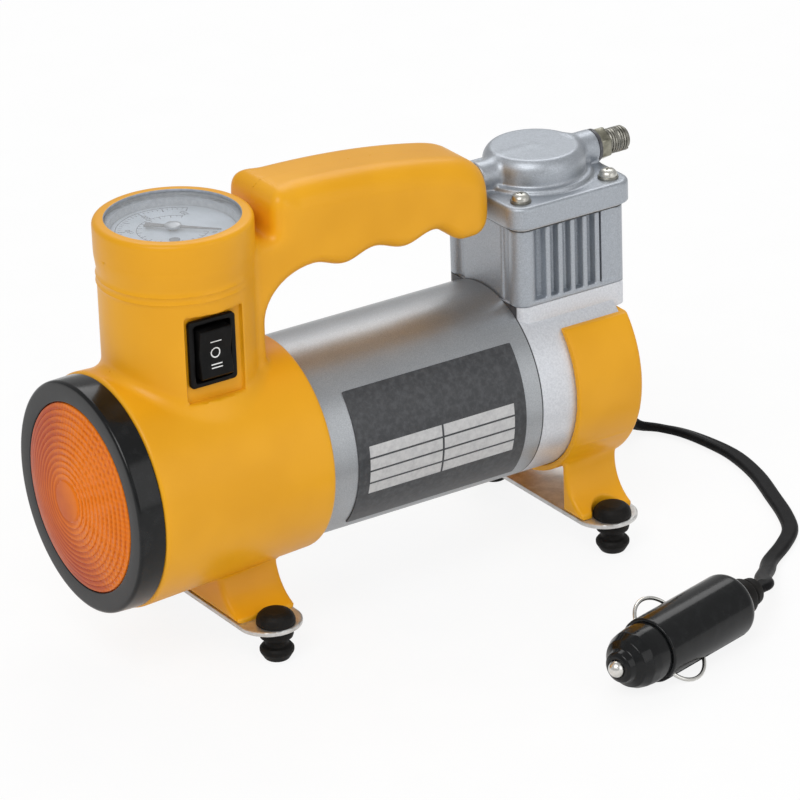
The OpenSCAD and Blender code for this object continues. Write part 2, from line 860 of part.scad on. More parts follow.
module motor_label() {
    color("#3A3B3E") place() translate([0, label_y0, 0]) rotate([-90, 0, 0]) rotate(-label_up)
        rotate_extrude(angle = label_up + label_down) translate([can_r + glue_t, 0])
            square([label_t, label_y1 - label_y0]);
}

// ---- Crank and piston ------------------------------------------------------------

case_front = 6;
bearing_d = 19;
bearing_w = 6;
bearing_y = -1;
rod_t = 7;
disc_t = 6;
disc_y1 = y_cyl - 4;
disc_y0 = disc_y1 - disc_t;
disc_r = crank_throw + crank_pin_d / 2 + 6;
wrist_d = 6;
wrist_len = bore_d / 2;
big_r = crank_pin_d / 2 + 3;
small_r = wrist_d / 2 + 1.5;
crown_t = 4;
crown_top = block_top - 0.4;
// The rod leaves room under the crown at both ends of the stroke
rod_len = crown_top - crown_t - 3 * crank_throw - small_r - 0.6;
piston_d = bore_d - 0.6;
piston_wall = 1.7;
piston_low = disc_r + 1.7;
piston_h = crown_top - 2 * crank_throw - piston_low;
seal_h = 1.7;
seal_drop = 1.6;
seal_in = piston_d - 3;

module shaft_bearing() {
    bore = shaft_d + 2 * run_fit;
    color(steel) place() difference() {
        along_y(bearing_d, bearing_y, bearing_y + bearing_w);
        along_y(bore, bearing_y - eps, bearing_y + bearing_w + eps);
        for (y = [bearing_y, bearing_y + bearing_w]) {
            ring_y(bearing_d - 3.2, shaft_d + 4, y - 0.5, y + 0.5);
        }
    }
}

module crank_disc() {
    hub_r = crank_throw + crank_pin_d / 2 + 1.2;
    color(steel) place() {
        translate([0, disc_y0, 0]) rotate([-90, 0, 0]) linear_extrude(disc_t) difference() {
            union() {
                circle(r = hub_r);
                intersection() {
                    circle(r = disc_r);
                    translate([-disc_r, 0]) square([2 * disc_r, disc_r]);
                }
            }
            circle(d = shaft_d);
        }
        translate([0, 0, crank_throw]) along_y(crank_pin_d, disc_y1 - 0.01, y_cyl + rod_t / 2 + 0.5);
    }
}

module connecting_rod() {
    color(silver) place() translate([0, y_cyl, crank_throw]) rotate([90, 0, 0])
        translate([0, 0, -rod_t / 2]) difference() {
            union() {
                cylinder(r = big_r, h = rod_t);
                translate([0, rod_len]) cylinder(r = small_r, h = rod_t);
                translate([0, 0, 1]) linear_extrude(rod_t - 2)
                    polygon([[-4.4, 3], [4.4, 3], [3.2, rod_len - 2], [-3.2, rod_len - 2]]);
            }
            translate([0, 0, -eps]) cylinder(d = crank_pin_d + 2 * run_fit, h = rod_t + 2 * eps);
            translate([0, rod_len, -eps]) cylinder(d = wrist_d, h = rod_t + 2 * eps);
        }
}

module wrist_pin() {
    color(steel) place() translate([0, 0, crank_throw + rod_len])
        along_y(wrist_d, y_cyl - wrist_len / 2, y_cyl + wrist_len / 2);
}

module piston() {
    color(silver) place() translate([0, y_cyl, crown_top - piston_h]) difference() {
        cylinder(d = piston_d, h = piston_h);
        translate([0, 0, -eps]) cylinder(d = piston_d - 2 * piston_wall, h = piston_h - crown_t + eps);
        translate([0, 0, piston_h - seal_drop - seal_h - fit]) difference() {
            cylinder(d = bore_d, h = seal_h + 2 * fit);
            translate([0, 0, -eps]) cylinder(d = seal_in, h = seal_h + 2);
        }
    }
}

module piston_seal() {
    color("#2A2A2C") place() translate([0, y_cyl, crown_top - seal_drop - seal_h]) difference() {
        cylinder(d = bore_d - 0.04, h = seal_h);
        translate([0, 0, -eps]) cylinder(d = seal_in + 2 * fit, h = seal_h + 2 * eps);
    }
}

// ---- Crankcase ---------------------------------------------------------------------

sleeve_d = bore_d + 4;
sleeve_low = deck_z - 5;
pillar_r = (block_w - bolt_gap) / 2;
deck_low = cover_edge + 0.4;
cavity_d = motor_d - 2 * case_wall;
bolt_low = deck_z - 7;
cover_screw_r = can_r - case_wall / 2;
cover_screw_d = 2.5;
cover_screws_at = [-20, 200, 270];

module each_bolt() {
    for (x = [-1, 1], y = [-1, 1]) {
        translate([x * bolt_gap / 2, y_cyl + y * bolt_gap / 2, 0]) children();
    }
}

module each_cover_screw(y) {
    for (a = cover_screws_at) {
        translate([cover_screw_r * cos(a), y, cover_screw_r * sin(a)]) children();
    }
}

module crankcase() {
    color(silver) place() difference() {
        union() {
            along_y(motor_d, 0, case_len);
            ring_y(can_in - 2 * fit, can_in - 2 * fit - 4, -4, 1);
            along_y(bearing_d + 7, bearing_y - 1, 1);
            translate([0, y_cyl, deck_low]) square_plate(block_w, pillar_r, deck_z - deck_low);
        }
        along_y(cavity_d, case_front, case_len + eps);
        along_y(bearing_d, bearing_y - 1 - eps, bearing_y + bearing_w);
        along_y(bearing_d - 4, 0, case_front + eps);
        translate([0, y_cyl, 0]) cylinder(d = sleeve_d + 0.4, h = motor_d);
        translate([-motor_d / 2, 0, deck_z]) cube([motor_d, block_w + eps, motor_d / 2]);
        each_bolt() {
            translate([0, 0, bolt_low]) cylinder(d = bolt_d, h = 20, $fn = 32);
        }
        each_cover_screw(case_len - 8) {
            along_y(cover_screw_d - 0.4, 0, 8 + eps);
        }
        for (s = [-1, 1]) {
            translate([s * wire_x, 0, wire_z]) along_y(wire_d + 0.8, -1, case_front + eps);
        }
    }
}

// ---- Cylinder and head ----------------------------------------------------------------

gasket_t = 0.4;
plate_t = 1;
plate_edge = 4;
plate_w = bolt_gap + 2 * plate_edge;
plate_z = block_top + gasket_t;
head_z = plate_z + plate_t;
head_top = head_z + head_t;
corner_r = 6;
cavity_head_d = cap_d - 8;
boss_front_d = 9.4;
boss_rear_d = 10.6;

module cylinder_block() {
    core_w = block_w - 5.6;
    fin_first = -9;
    fin_span = 18;
    panel_in = 0.4;
    panel_y = bolt_gap / 2 - 5.4;
    h = block_top - deck_z;
    color(silver) place() translate([0, y_cyl, 0]) difference() {
        union() {
            translate([0, 0, sleeve_low]) cylinder(d = sleeve_d, h = block_top - sleeve_low);
            translate([-core_w / 2, -block_w / 2 + 1.2, deck_z]) cube([core_w, block_w - 2.4, h]);
            translate([-block_w / 2, -block_w / 2 + pillar_r, deck_z])
                cube([block_w, block_w - 2 * pillar_r, 1.6]);
            for (x = [-1, 1]) {
                translate([x * bolt_gap / 2, -bolt_gap / 2, deck_z]) cylinder(r = pillar_r, h = h);
                translate([x * bolt_gap / 2, bolt_gap / 2, deck_z]) cylinder(r = pillar_r, h = h);
            }
            // Flat side panels at the outlet end
            translate([panel_in - block_w / 2, panel_y, deck_z])
                cube([block_w - 2 * panel_in, bolt_gap / 2 - panel_y, h]);
            // Fins on both sides
            for (k = [0:fin_count - 1]) {
                translate([-block_w / 2, fin_first + k * fin_span / (fin_count - 1) - fin_t / 2, deck_z])
                    cube([block_w, fin_t, h]);
            }
            // Flat panel of the face toward the handle
            translate([-8.5, -block_w / 2 + 0.5, deck_z]) cube([core_w / 2 + 8, 2, h]);
        }
        translate([0, 0, sleeve_low - eps]) cylinder(d = bore_d, h = block_top);
        translate([0, -y_cyl, 0]) each_bolt() {
            cylinder(d = bolt_d + 0.4, h = block_top + eps, $fn = 32);
        }
    }
}

module square_plate(w, r, h) {
    // Plate with round corners
    linear_extrude(h) union() {
        square([w - 2 * r, w], center = true);
        square([w, w - 2 * r], center = true);
        for (x = [-1, 1], y = [-1, 1]) {
            translate([x, y] * (w / 2 - r)) circle(r = r);
        }
    }
}

module head_gasket() {
    color("#3B3B3B") place() difference() {
        translate([0, y_cyl, block_top]) square_plate(plate_w, plate_edge, gasket_t);
        translate([0, y_cyl, block_top - eps]) cylinder(d = bore_d, h = 2);
        each_bolt() {
            translate([0, 0, block_top - eps]) cylinder(d = bolt_d + 0.4, h = 2, $fn = 32);
        }
    }
}

port_gap = 5;

module valve_plate() {
    color(steel) place() difference() {
        translate([0, y_cyl, plate_z]) square_plate(plate_w, plate_edge, plate_t);
        for (x = [-port_gap, port_gap]) {
            translate([x, y_cyl, plate_z - eps]) cylinder(d = 3, h = 3, $fn = 32);
        }
        each_bolt() {
            translate([0, 0, plate_z - eps]) cylinder(d = bolt_d + 0.4, h = 3, $fn = 32);
        }
    }
}

module reed_valves() {
    reed_t = 0.2;
    color("#8D9AA8") place() translate([0, y_cyl, 0]) {
        // Outlet reed on the plate, held by a rivet, then inlet reed under it
        translate([port_gap, 0, head_z]) {
            translate([-2.5, -3, 0]) cube([5, 12, reed_t]);
            translate([0, 6, reed_t - 0.01]) cylinder(d = 2.4, h = 0.8, $fn = 24);
        }
        translate([-port_gap - 2.5, -9, plate_z - reed_t]) cube([5, 12, reed_t]);
    }
}

module cylinder_head() {
    h = head_top - head_z;
    color(silver) place() difference() {
        union() {
            translate([0, y_cyl, head_z]) square_plate(head_w, corner_r, h);
            translate([0, y_cyl, head_top - 0.01]) rotate_extrude() {
                polygon([[0, 0], [cap_d / 2 + 2, 0], [cap_d / 2 + 2, 1.1], [cap_d / 2 + 1.2, 1.6],
                    [cap_d / 2, 1.9], [cap_d / 2, cap_h - 3.5], [cap_d / 2 - 3.5, cap_h], [0, cap_h]]);
                translate([cap_d / 2 - 3.5, cap_h - 3.5]) circle(r = 3.5, $fn = 48);
            }
            translate([0, 0, z_port]) {
                along_y(boss_front_d, y_cyl - head_w / 2 + 0.4, y_cyl);
                along_y(boss_rear_d, y_cyl + cap_d / 2 - 3, y_boss);
                along_y(barb_d, y_tube_end - 7, y_cyl);
            }
        }
        translate([0, y_cyl, head_z - eps]) cylinder(d = cavity_head_d, h = z_port + 2 - head_z + eps);
        translate([0, 0, z_port]) {
            along_y(1.4, y_tube_end - 8, y_cyl);
            along_y(outlet_bore, y_cyl, y_boss + eps);
            along_y(spigot_hole_d, y_boss - 6, y_boss + eps);
            along_y(washer_d + 0.6, y_boss, y_boss + 2 * washer_t);
        }
        each_bolt() {
            translate([0, 0, head_z - eps]) cylinder(d = bolt_d + 0.4, h = h + 2 * eps, $fn = 32);
        }
    }
}

spigot_hole_d = thread_d - 1.4;
washer_d = hex_af + 1.4;
bolt_washer_t = 0.8;

module head_screws() {
    color("#D9DADC") place() each_bolt() {
        translate([0, 0, head_top + bolt_washer_t]) {
            difference() {
                translate([0, 0, -bolt_washer_t])
                    cylinder(d = 2 * bolt_d + 0.4, h = bolt_washer_t, $fn = 48);
                translate([0, 0, -2]) cylinder(d = bolt_d, h = 4, $fn = 32);
            }
            pan_screw(bolt_d, head_top + bolt_washer_t - bolt_low - 1, 1.85 * bolt_d, 0.7 * bolt_d);
        }
    }
}

module outlet_washer() {
    color(steel) place() translate([0, 0, z_port]) ring_y(washer_d, spigot_hole_d, y_boss, y_nut);
}

module outlet_fitting() {
    color(steel) place() translate([0, 0, z_port]) difference() {
        union() {
            along_y(spigot_hole_d - 2 * fit, y_boss - 5, y_nut + eps);
            translate([0, y_nut, 0]) rotate([-90, 0, 0]) rotate(30)
                cylinder(d = hex_af / cos(30), h = hex_t, $fn = 6);
            along_y(thread_d, y_thread - eps, y_tip - 0.6);
            translate([0, y_tip - 0.6, 0]) rotate([-90, 0, 0])
                cylinder(d1 = thread_d, d2 = thread_d - 1.2, h = 0.6);
        }
        along_y(outlet_bore, y_boss - 6, y_tip + eps);
    }
}

// ---- Rear cover ---------------------------------------------------------------------------

cover_in_d = motor_d + 0.3;
cover_d = cover_in_d + 2 * cover_wall;
cover_back = case_len + 0.1;
y_cover_end = cover_back + 2;
gland_x = 7;
gland_z = 18 - can_r;
gland_d = 7;
gland_out = 5;

module rear_legs() {
    y0 = y_strap_rear - strap_w / 2;
    len = strap_w - 1;
    difference() {
        for (s = [-1, 1]) {
            translate([s > 0 ? rear_leg_in : -rear_leg_tip, y0, strap_top])
                cube([rear_leg_tip - rear_leg_in, len, leg_top - strap_top]);
        }
        flares(rear_flare_x, y0 - eps, y0 + len + eps, flare_r);
        foot_notches(y_strap_rear);
        strap_pilots(rear_screw_x, y_strap_rear);
    }
}

module rear_cover() {
    r = cover_d / 2;
    color(yellow) place() difference() {
        union() {
            intersection() {
                turned_y(0) polygon([[0, cover_set], [r - 0.4, cover_set], [r, cover_set + 0.5],
                    [r, y_cover_end - 1.6], [r - 0.5, y_cover_end - 0.5], [r - 1.6, y_cover_end],
                        [0, y_cover_end]]);
                translate([-motor_d, 0, -axis_h]) cube([2 * motor_d, 2 * case_len, axis_h + cover_edge]);
            }
            rear_legs();
        }
        along_y(cover_in_d, -eps, cover_back);
        each_cover_screw(cover_back) {
            along_y(cover_screw_d + 0.4, -eps, 3);
        }
        // Room for the piston at the low end of its stroke
        translate([0, y_cyl, piston_low - 1]) cylinder(d = bore_d + 1, h = motor_d);
        translate([gland_x, 0, gland_z]) along_y(gland_d, cover_back - eps, y_cover_end + eps);
    }
}

module cover_screws() {
    color(steel) place() each_cover_screw(y_cover_end) {
        rotate([-90, 0, 0]) pan_screw(cover_screw_d - 0.4, 8, 5, 1.8);
    }
}

module cord_gland() {
    color(black) place() translate([gland_x, y_cover_end, gland_z]) rotate([-90, 0, 0]) {
        cylinder(d = gland_d + 2.4, h = 1.4);
        cylinder(d1 = gland_d + 0.6, d2 = gland_d, h = gland_out);
        translate([0, 0, cover_back - y_cover_end - 0.6]) cylinder(d = gland_d, h = 3);
    }
}

// ---- Base ------------------------------------------------------------------------------------

module strap(y, screw_x) {
    color("#B9BBBE") place() translate([0, y, strap_top - strap_t]) linear_extrude(strap_t) difference() {
        union() {
            square([strap_len - strap_w, strap_w], center = true);
            for (s = [-1, 1]) {
                translate([s * (strap_len - strap_w) / 2, 0]) circle(d = strap_w);
            }
        }
        for (s = [-1, 1]) {
            translate([s * foot_x, 0]) circle(d = foot_neck_d);
            translate([s * screw_x, 0]) circle(d = 3.4, $fn = 32);
        }
    }
}

foot_neck_d = 6;

module front_strap() {
    strap(y_strap_front, strap_screw_x);
}

module rear_strap() {
    strap(y_strap_rear, rear_screw_x);
}

module strap_screws() {
    places = [[strap_screw_x, y_strap_front], [rear_screw_x, y_strap_rear]];
    color(steel) place() for (s = [-1, 1], q = places) {
        translate([s * q[0], q[1], strap_top - strap_t]) mirror([0, 0, 1])
            pan_screw(2.4, strap_t + pilot_deep - 0.5, 5.6, 1.8);
    }
}

module rubber_feet() {
    drop = axis_h - strap_drop - strap_t;
    r = foot_d / 2;
    sole_r = sole_d / 2;
    neck_r = foot_neck_d / 2;
    color(black) place() for (x = [-1, 1], y = [y_strap_front, y_strap_rear]) {
        translate([x * foot_x, y, strap_top]) rotate_extrude() polygon([
            [0, -strap_t - drop], [sole_r - 1, -strap_t - drop], [sole_r, -strap_t - drop + 1],
            [sole_r, -strap_t - 6.4], [sole_r - 0.6, -strap_t - 5.6], [neck_r + 0.4, -strap_t - 5.2],
            [neck_r + 0.4, -strap_t - 3.4], [sole_r - 0.3, -strap_t - 2.8], [sole_r, -strap_t - 2],
            [sole_r, -strap_t], [neck_r, -strap_t], [neck_r, 0], [r, 0], [r, 1.2], [r - 0.5, 2.5],
            [r - 1.7, 3.6], [r - 3.2, 4.1], [0, 4.1]]);
    }
}

// ---- Cord, wires and plug ------------------------------------------------------------------------

function unit(v) = v / norm(v);
function at(p, i) = p[max(0, min(len(p) - 1, i))];
// Smooth curve through the points of p, with n steps between two of them
function curve(p, n) = concat([for (i = [0:len(p) - 2], k = [0:n - 1]) let (t = k / n,
    a = at(p, i - 1), b = p[i], c = p[i + 1], d = at(p, i + 2))
    ((2 * b) + (c - a) * t + (2 * a - 5 * b + 4 * c - d) * t * t + (3 * b - a - 3 * c + d) * t * t * t) / 2],
    [p[len(p) - 1]]);
function aims(p) = [for (i = [0:len(p) - 1]) unit(at(p, i + 1) - at(p, i - 1))];
function run_to(p, i) = i == 0 ? 0 : run_to(p, i - 1) + norm(p[i] - p[i - 1]);

// Tube with cross-section sec ([along the side vector, along the other]) swept along p
module sweep(p, side, sec) {
    m = len(sec);
    n = len(p);
    aim = aims(p);
    pts = [for (i = [0:n - 1]) let (u = unit(side[i] - (side[i] * aim[i]) * aim[i]), v = cross(aim[i], u))
        for (q = sec) p[i] + q[0] * u + q[1] * v];
    walls = [for (i = [0:n - 2], j = [0:m - 1]) let (a = i * m + j, b = i * m + (j + 1) % m)
        each [[a, b, b + m], [a, b + m, a + m]]];
    ends = [for (j = [1:m - 2]) each [[0, j + 1, j], [(n - 1) * m, (n - 1) * m + j, (n - 1) * m + j + 1]]];
    polyhedron(pts, [for (f = concat(walls, ends)) [f[0], f[2], f[1]]]);
}

cord_z = cord_t / 2 - axis_h + 0.1;
plug_z = plug_d / 2 - axis_h;
plug_end = [97.4, 29.4];
plug_turn = 15.5;
relief_len = 10;
nose_len = 14.4;
y_gland = y_cover_end + gland_out;

// Route of the cord from the gland to the plug
route = [
    [gland_x, y_gland, gland_z], [gland_x, y_gland + 2.5, gland_z], [gland_x, y_gland + 5, gland_z],
    [2, 52, gland_z - 2.5], [-6, 57, gland_z - 7], [-15, 62, gland_z - 14], [-24, 67.5, -36],
    [-31, 74, -45], [-33.5, 80.5, -50.5], [-28.8, 86.2, cord_z], [-21, 90, cord_z], [-9.8, 92.2, cord_z],
    [3, 92.7, cord_z], [18.6, 89.7, cord_z], [34.6, 84, cord_z], [47.3, 79.1, cord_z],
    [56.8, 73.8, cord_z], [63.9, 65.7, cord_z],
    [71.6, 55, -50.8], [80, 47.5, -48.5], [88.5, 39.5, -45.4],
    [plug_end[0] - 6 * sin(plug_turn), plug_end[1] + 6 * cos(plug_turn), plug_z],
    [plug_end[0] - 3 * sin(plug_turn), plug_end[1] + 3 * cos(plug_turn), plug_z],
    [plug_end[0], plug_end[1], plug_z]];
cord_path = curve(route, 3);
cord_len = run_to(cord_path, len(cord_path) - 1);

module power_cord() {
    // Flat twin cord: on edge at the gland, flat on the floor, on its back at the plug
    aim = aims(cord_path);
    side = [for (i = [0:len(cord_path) - 1]) let (s = run_to(cord_path, i) / cord_len,
        f = 90 * max(0, 1 - s / 0.5), flat = unit(cross(aim[i], [0, 0, 1])))
        flat * cos(f) + [0, 0, 1] * sin(f)];
    c = (cord_w - cord_t) / 2;
    sec = [for (h = [0, 180], a = [-75:30:75]) [
        (h == 0 ? c : -c) + cord_t / 2 * cos(a + h), cord_t / 2 * sin(a + h)]];
    color(black) place() sweep(cord_path, side, sec);
}

module wire(p, d) {
    path = curve(p, 2);
    sec = [for (a = [0:60:300]) d / 2 * [cos(a), sin(a)]];
    sweep(path, [for (q = path) [1, 0.2, 0.15]], sec);
}

module lead_wires() {
    x_blade = switch_flat - switch_deep - blade_out;
    for (s = [-1, 1]) {
        y = y_switch + s * 1.3;
        z = switch_z + blades[s > 0 ? 1 : 0];
        color(s > 0 ? "#B22222" : black) place() wire([
            [gland_x + s * 1.4, cover_back - 0.8, gland_z], [gland_x + s * 1.4, cover_back - 2.5, gland_z],
            [gland_x + s * 1.4, cover_back - 4.2, gland_z],
                [gland_x + s * 1.4 - 1, case_len - 8, gland_z - 4],
            [s * wire_x + 2, y_cyl + 2, wire_z + 3], [s * wire_x, y_cyl - 7, wire_z],
                [s * wire_x, 0, wire_z],
            [s * wire_x, y_can - 1, wire_z], [s * wire_x, y_can - 7, wire_z + 2],
            [s * wire_x - 4, y_can - 13, wire_z + 14], [s * wire_x - 7, y, 5],
                [x_blade - 7 + s, y, switch_z - 14],
            [x_blade - 6, y, z - 3], [x_blade - 4, y, z], [x_blade - 0.1, y, z]], wire_d);
    }
}

module at_plug() {
    translate([plug_end[0], plug_end[1], plug_z]) rotate(plug_turn) rotate([0, plug_roll, 0]) children();
}

y_body1 = -relief_len;
y_body0 = y_body1 - plug_len;
y_nose0 = y_body0 - nose_len;
plug_bore = plug_d - 5;
loop_r = 7.7;
loop_y = y_body0 + loop_r + 2.2;
fuse_d = 6;
fuse_len = 30;
// The ends of the loops stay clear of the fuse when they are pushed in
loop_x = fuse_d / 2 + 1.7 + side_travel;
// The plug rolls until its near loop rests on the floor
plug_roll = asin((plug_d / 2 - 0.05) / (loop_x + loop_r + side_wire / 2));
nose_bore = 9;
tip_wall = 2;
flange_y = y_nose0 + tip_wall + 0.1;
spring_wire = 0.9;

module plug_strain_relief() {
    color(black) place() at_plug() difference() {
        union() {
            translate([0, y_body1, 0]) rotate([-90, 0, 0]) cylinder(d1 = 12, d2 = 11, h = 5.5);
            translate([0, y_body1 + 5.5, 0]) rotate([-90, 0, 0])
                cylinder(d1 = 9.6, d2 = 8, h = relief_len - 5.5);
            along_y(6, y_body1 - 3, y_body1 + eps);
        }
    }
}

module plug_body() {
    color(black) place() at_plug() difference() {
        turned_y(0) polygon([[0, y_body0], [plug_d / 2, y_body0], [plug_d / 2, y_body1 - 5],
            [plug_d / 2 - 0.7, y_body1 - 2.6], [plug_d / 2 - 2.2, y_body1 - 0.8],
                [plug_d / 2 - 4, y_body1], [0, y_body1]]);
        along_y(plug_bore, y_body0 - eps, y_body1 - 4);
        along_y(6, y_body1 - 5, y_body1 + eps);
        translate([-plug_d, loop_y - loop_r - 1.1, -side_wire / 2 - 0.3])
            cube([2 * plug_d, 2 * loop_r + 2.2, side_wire + 0.6]);
    }
}

module plug_nose() {
    r = plug_d / 2;
    color(black) place() at_plug() difference() {
        turned_y(0) polygon([[0, y_nose0], [3.6, y_nose0], [4.6, y_nose0 + 0.5], [5, y_nose0 + 3],
            [6.4, y_nose0 + 4.2],
            [r - 2.4, y_nose0 + 6.2], [r - 1.5, y_nose0 + 8.6], [r - 1.4, y_body0],
                [plug_bore / 2 - fit, y_body0],
            [plug_bore / 2 - fit, y_body0 + 1.2], [0, y_body0 + 1.2]]);
        along_y(nose_bore, y_nose0 + tip_wall, y_body0 + 3);
        along_y(tip_d + 2 * run_fit, y_nose0 - eps, y_nose0 + 4);
    }
}

tip_d = 5.2;
// The ball stays a little proud when it is pushed in
y_ball = y_nose0 + tip_d / 2 - tip_travel - 0.2;

module plug_tip() {
    color(steel) place() at_plug() {
        translate([0, y_ball, 0]) sphere(d = tip_d, $fn = 48);
        along_y(tip_d, y_ball, flange_y + eps);
        along_y(nose_bore - 0.6, flange_y, flange_y + 1.6);
    }
}

y_fuse = flange_y + 1.6;

module plug_fuse() {
    color("#D8D8D0") place() at_plug() along_y(fuse_d, y_fuse, y_fuse + fuse_len);
}

// Coil spring between the fuse and the back wall of the plug
spring_y0 = y_fuse + fuse_len + spring_wire / 2;
spring_y1 = y_body1 - 4 - spring_wire / 2;
spring_turns = 5;
spring_r = 2.6;
spring_path = [for (k = [0:8 * spring_turns]) let (a = 45 * k)
    [spring_r * cos(a), spring_y0 + (spring_y1 - spring_y0) * k / (8 * spring_turns), spring_r * sin(a)]];
spring_gap = min([for (k = [0:8 * spring_turns - 8])
    norm(spring_path[k + 8] - spring_path[k])]) - spring_wire;
echo(spring_gap = spring_gap, cord_len = cord_len);

module plug_spring() {
    sec = [for (a = [0:60:300]) spring_wire / 2 * [cos(a), sin(a)]];
    color(steel) place() at_plug() sweep(spring_path, [for (q = spring_path) [q[0], 0, q[2]]], sec);
}

module side_contact(s) {
    // Wire loop that springs out of the side of the plug
    color(steel) place() at_plug() translate([s * loop_x, loop_y, 0])
        rotate(s > 0 ? -90 : 90) rotate_extrude(angle = 180) translate([loop_r, 0])
            circle(d = side_wire, $fn = 24);
}

module side_contact_near() {
    side_contact(1);
}

module side_contact_far() {
    side_contact(-1);
}

housing_right();
housing_left();
housing_screws();
lamp_bezel();
lamp_lens();
lamp_reflector();
lamp_bulb();
bulb_holder();
gauge_ring();
gauge_case();
gauge_dial();
gauge_needle();
gauge_glass();
bourdon_tube();
air_tube();
switch_body();
switch_rocker();
switch_terminals();
motor_can();
motor_magnets();
motor_end_bell();
brush_holder();
carbon_brushes();
motor_shaft();
armature_core();
armature_windings();
commutator();
motor_label();
crankcase();
shaft_bearing();
crank_disc();
connecting_rod();
wrist_pin();
piston();
piston_seal();
cylinder_block();
head_gasket();
valve_plate();
reed_valves();
cylinder_head();
head_screws();
outlet_washer();
outlet_fitting();
rear_cover();
cover_screws();
cord_gland();
front_strap();
rear_strap();
strap_screws();
rubber_feet();
lead_wires();
power_cord();
plug_strain_relief();
plug_body();
plug_nose();
plug_tip();
plug_spring();
plug_fuse();
side_contact_near();
side_contact_far();
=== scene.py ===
import math
import bpy
import bmesh
import numpy as np
from mathutils import Vector, Matrix
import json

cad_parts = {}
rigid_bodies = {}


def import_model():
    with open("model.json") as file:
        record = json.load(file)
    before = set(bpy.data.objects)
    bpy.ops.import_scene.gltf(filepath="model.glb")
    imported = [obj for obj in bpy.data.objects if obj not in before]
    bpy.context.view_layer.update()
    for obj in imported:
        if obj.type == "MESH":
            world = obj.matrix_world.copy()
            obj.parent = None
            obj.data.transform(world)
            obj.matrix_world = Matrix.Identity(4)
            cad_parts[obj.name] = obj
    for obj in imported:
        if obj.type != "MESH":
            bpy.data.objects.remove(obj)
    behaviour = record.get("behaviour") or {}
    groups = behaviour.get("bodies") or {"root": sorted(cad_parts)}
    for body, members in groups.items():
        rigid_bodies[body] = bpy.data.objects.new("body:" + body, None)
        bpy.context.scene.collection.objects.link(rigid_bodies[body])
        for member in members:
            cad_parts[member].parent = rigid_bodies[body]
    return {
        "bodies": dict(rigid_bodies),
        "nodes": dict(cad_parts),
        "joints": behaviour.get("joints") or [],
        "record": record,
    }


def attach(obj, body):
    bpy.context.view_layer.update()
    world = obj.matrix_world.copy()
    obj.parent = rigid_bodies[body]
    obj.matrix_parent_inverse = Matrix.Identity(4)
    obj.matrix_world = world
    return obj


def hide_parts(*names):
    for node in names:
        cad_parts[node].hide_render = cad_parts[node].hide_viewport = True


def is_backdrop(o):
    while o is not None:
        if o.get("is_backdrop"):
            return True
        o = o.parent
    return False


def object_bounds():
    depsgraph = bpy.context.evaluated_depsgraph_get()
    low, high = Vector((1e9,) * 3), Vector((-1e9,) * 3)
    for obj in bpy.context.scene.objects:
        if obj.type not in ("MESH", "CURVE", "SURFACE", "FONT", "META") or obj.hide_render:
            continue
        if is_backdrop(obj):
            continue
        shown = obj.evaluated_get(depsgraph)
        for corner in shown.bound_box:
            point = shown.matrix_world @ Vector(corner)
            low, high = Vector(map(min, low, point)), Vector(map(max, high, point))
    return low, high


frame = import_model()
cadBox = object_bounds()
nodes = frame["nodes"]
scene = bpy.context.scene
print("frame loaded:", len(nodes), "nodes")

# Sizes are in millimetres round the motor axis, with y = 0 where the motor meets the crankcase
place = {"yShift": 46.8, "axisHeight": 53.0}


def toRow(points):
    # From these millimetres to the metres of the row
    return (np.array(points, float).reshape(-1, 3) + (0, place["yShift"], place["axisHeight"])) / 1000.0


def addObject(name, data):
    obj = bpy.data.objects.new(name, data)
    scene.collection.objects.link(obj)
    return obj


def meshObject(name, points, faces):
    mesh = bpy.data.meshes.new(name)
    mesh.from_pydata([tuple(p) for p in points], [], [tuple(int(i) for i in f) for f in faces])
    return addObject(name, mesh)


def makeMesh(name, points, faces, body, smooth=None):
    obj = meshObject(name, toRow(points), faces)
    obj.data.validate()
    tidyNormals(obj)
    if smooth is not None:
        shadeBy(obj, smooth)
    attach(obj, body)
    return obj


def tidyNormals(obj, merge=1e-6):
    bm = bmesh.new()
    bm.from_mesh(obj.data)
    bmesh.ops.remove_doubles(bm, verts=bm.verts, dist=merge)
    bmesh.ops.recalc_face_normals(bm, faces=bm.faces)
    bm.to_mesh(obj.data)
    bm.free()


def shadeBy(obj, angle):
    # Smooth shading with edges sharper than the angle kept hard
    mesh = obj.data
    mesh.polygons.foreach_set("use_smooth", [True] * len(mesh.polygons))
    bm = bmesh.new()
    bm.from_mesh(mesh)
    limit = math.radians(angle)
    for e in bm.edges:
        e.smooth = not (len(e.link_faces) == 2 and e.calc_face_angle(0) > limit)
    bm.to_mesh(mesh)
    bm.free()


def movePoints(mesh, change):
    # Puts every point of a mesh where change(points) says
    pts = np.empty(len(mesh.vertices) * 3)
    mesh.vertices.foreach_get("co", pts)
    mesh.vertices.foreach_set("co", change(pts.reshape(-1, 3)).astype(np.float32).ravel())
    mesh.update()


def gridFaces(index, wrap=False, loop=False):
    # Quads over a grid of point numbers, closed along its rows or from the last row to the first
    g = np.concatenate([index, index[:, :1]], 1) if wrap else index
    g = np.concatenate([g, g[:1]]) if loop else g
    return np.stack([g[:-1, :-1], g[:-1, 1:], g[1:, 1:], g[1:, :-1]], -1).reshape(-1, 4).tolist()


def tubeFaces(rows, across):
    # Quads between closed rows of points, with a face over each end
    index = np.arange(rows * across).reshape(rows, across)
    return gridFaces(index, wrap=True) + [index[0, ::-1].tolist(), index[-1].tolist()]


# The camera is far off with a long lens
camera = {"azimuth": 57.5, "elevation": 24.2, "roll": -1.95, "distance": 1.6, "lens": 237.6, "sensor": 36,
          "far": 50, "target": (0.0, 0.0158, 0.05374)}


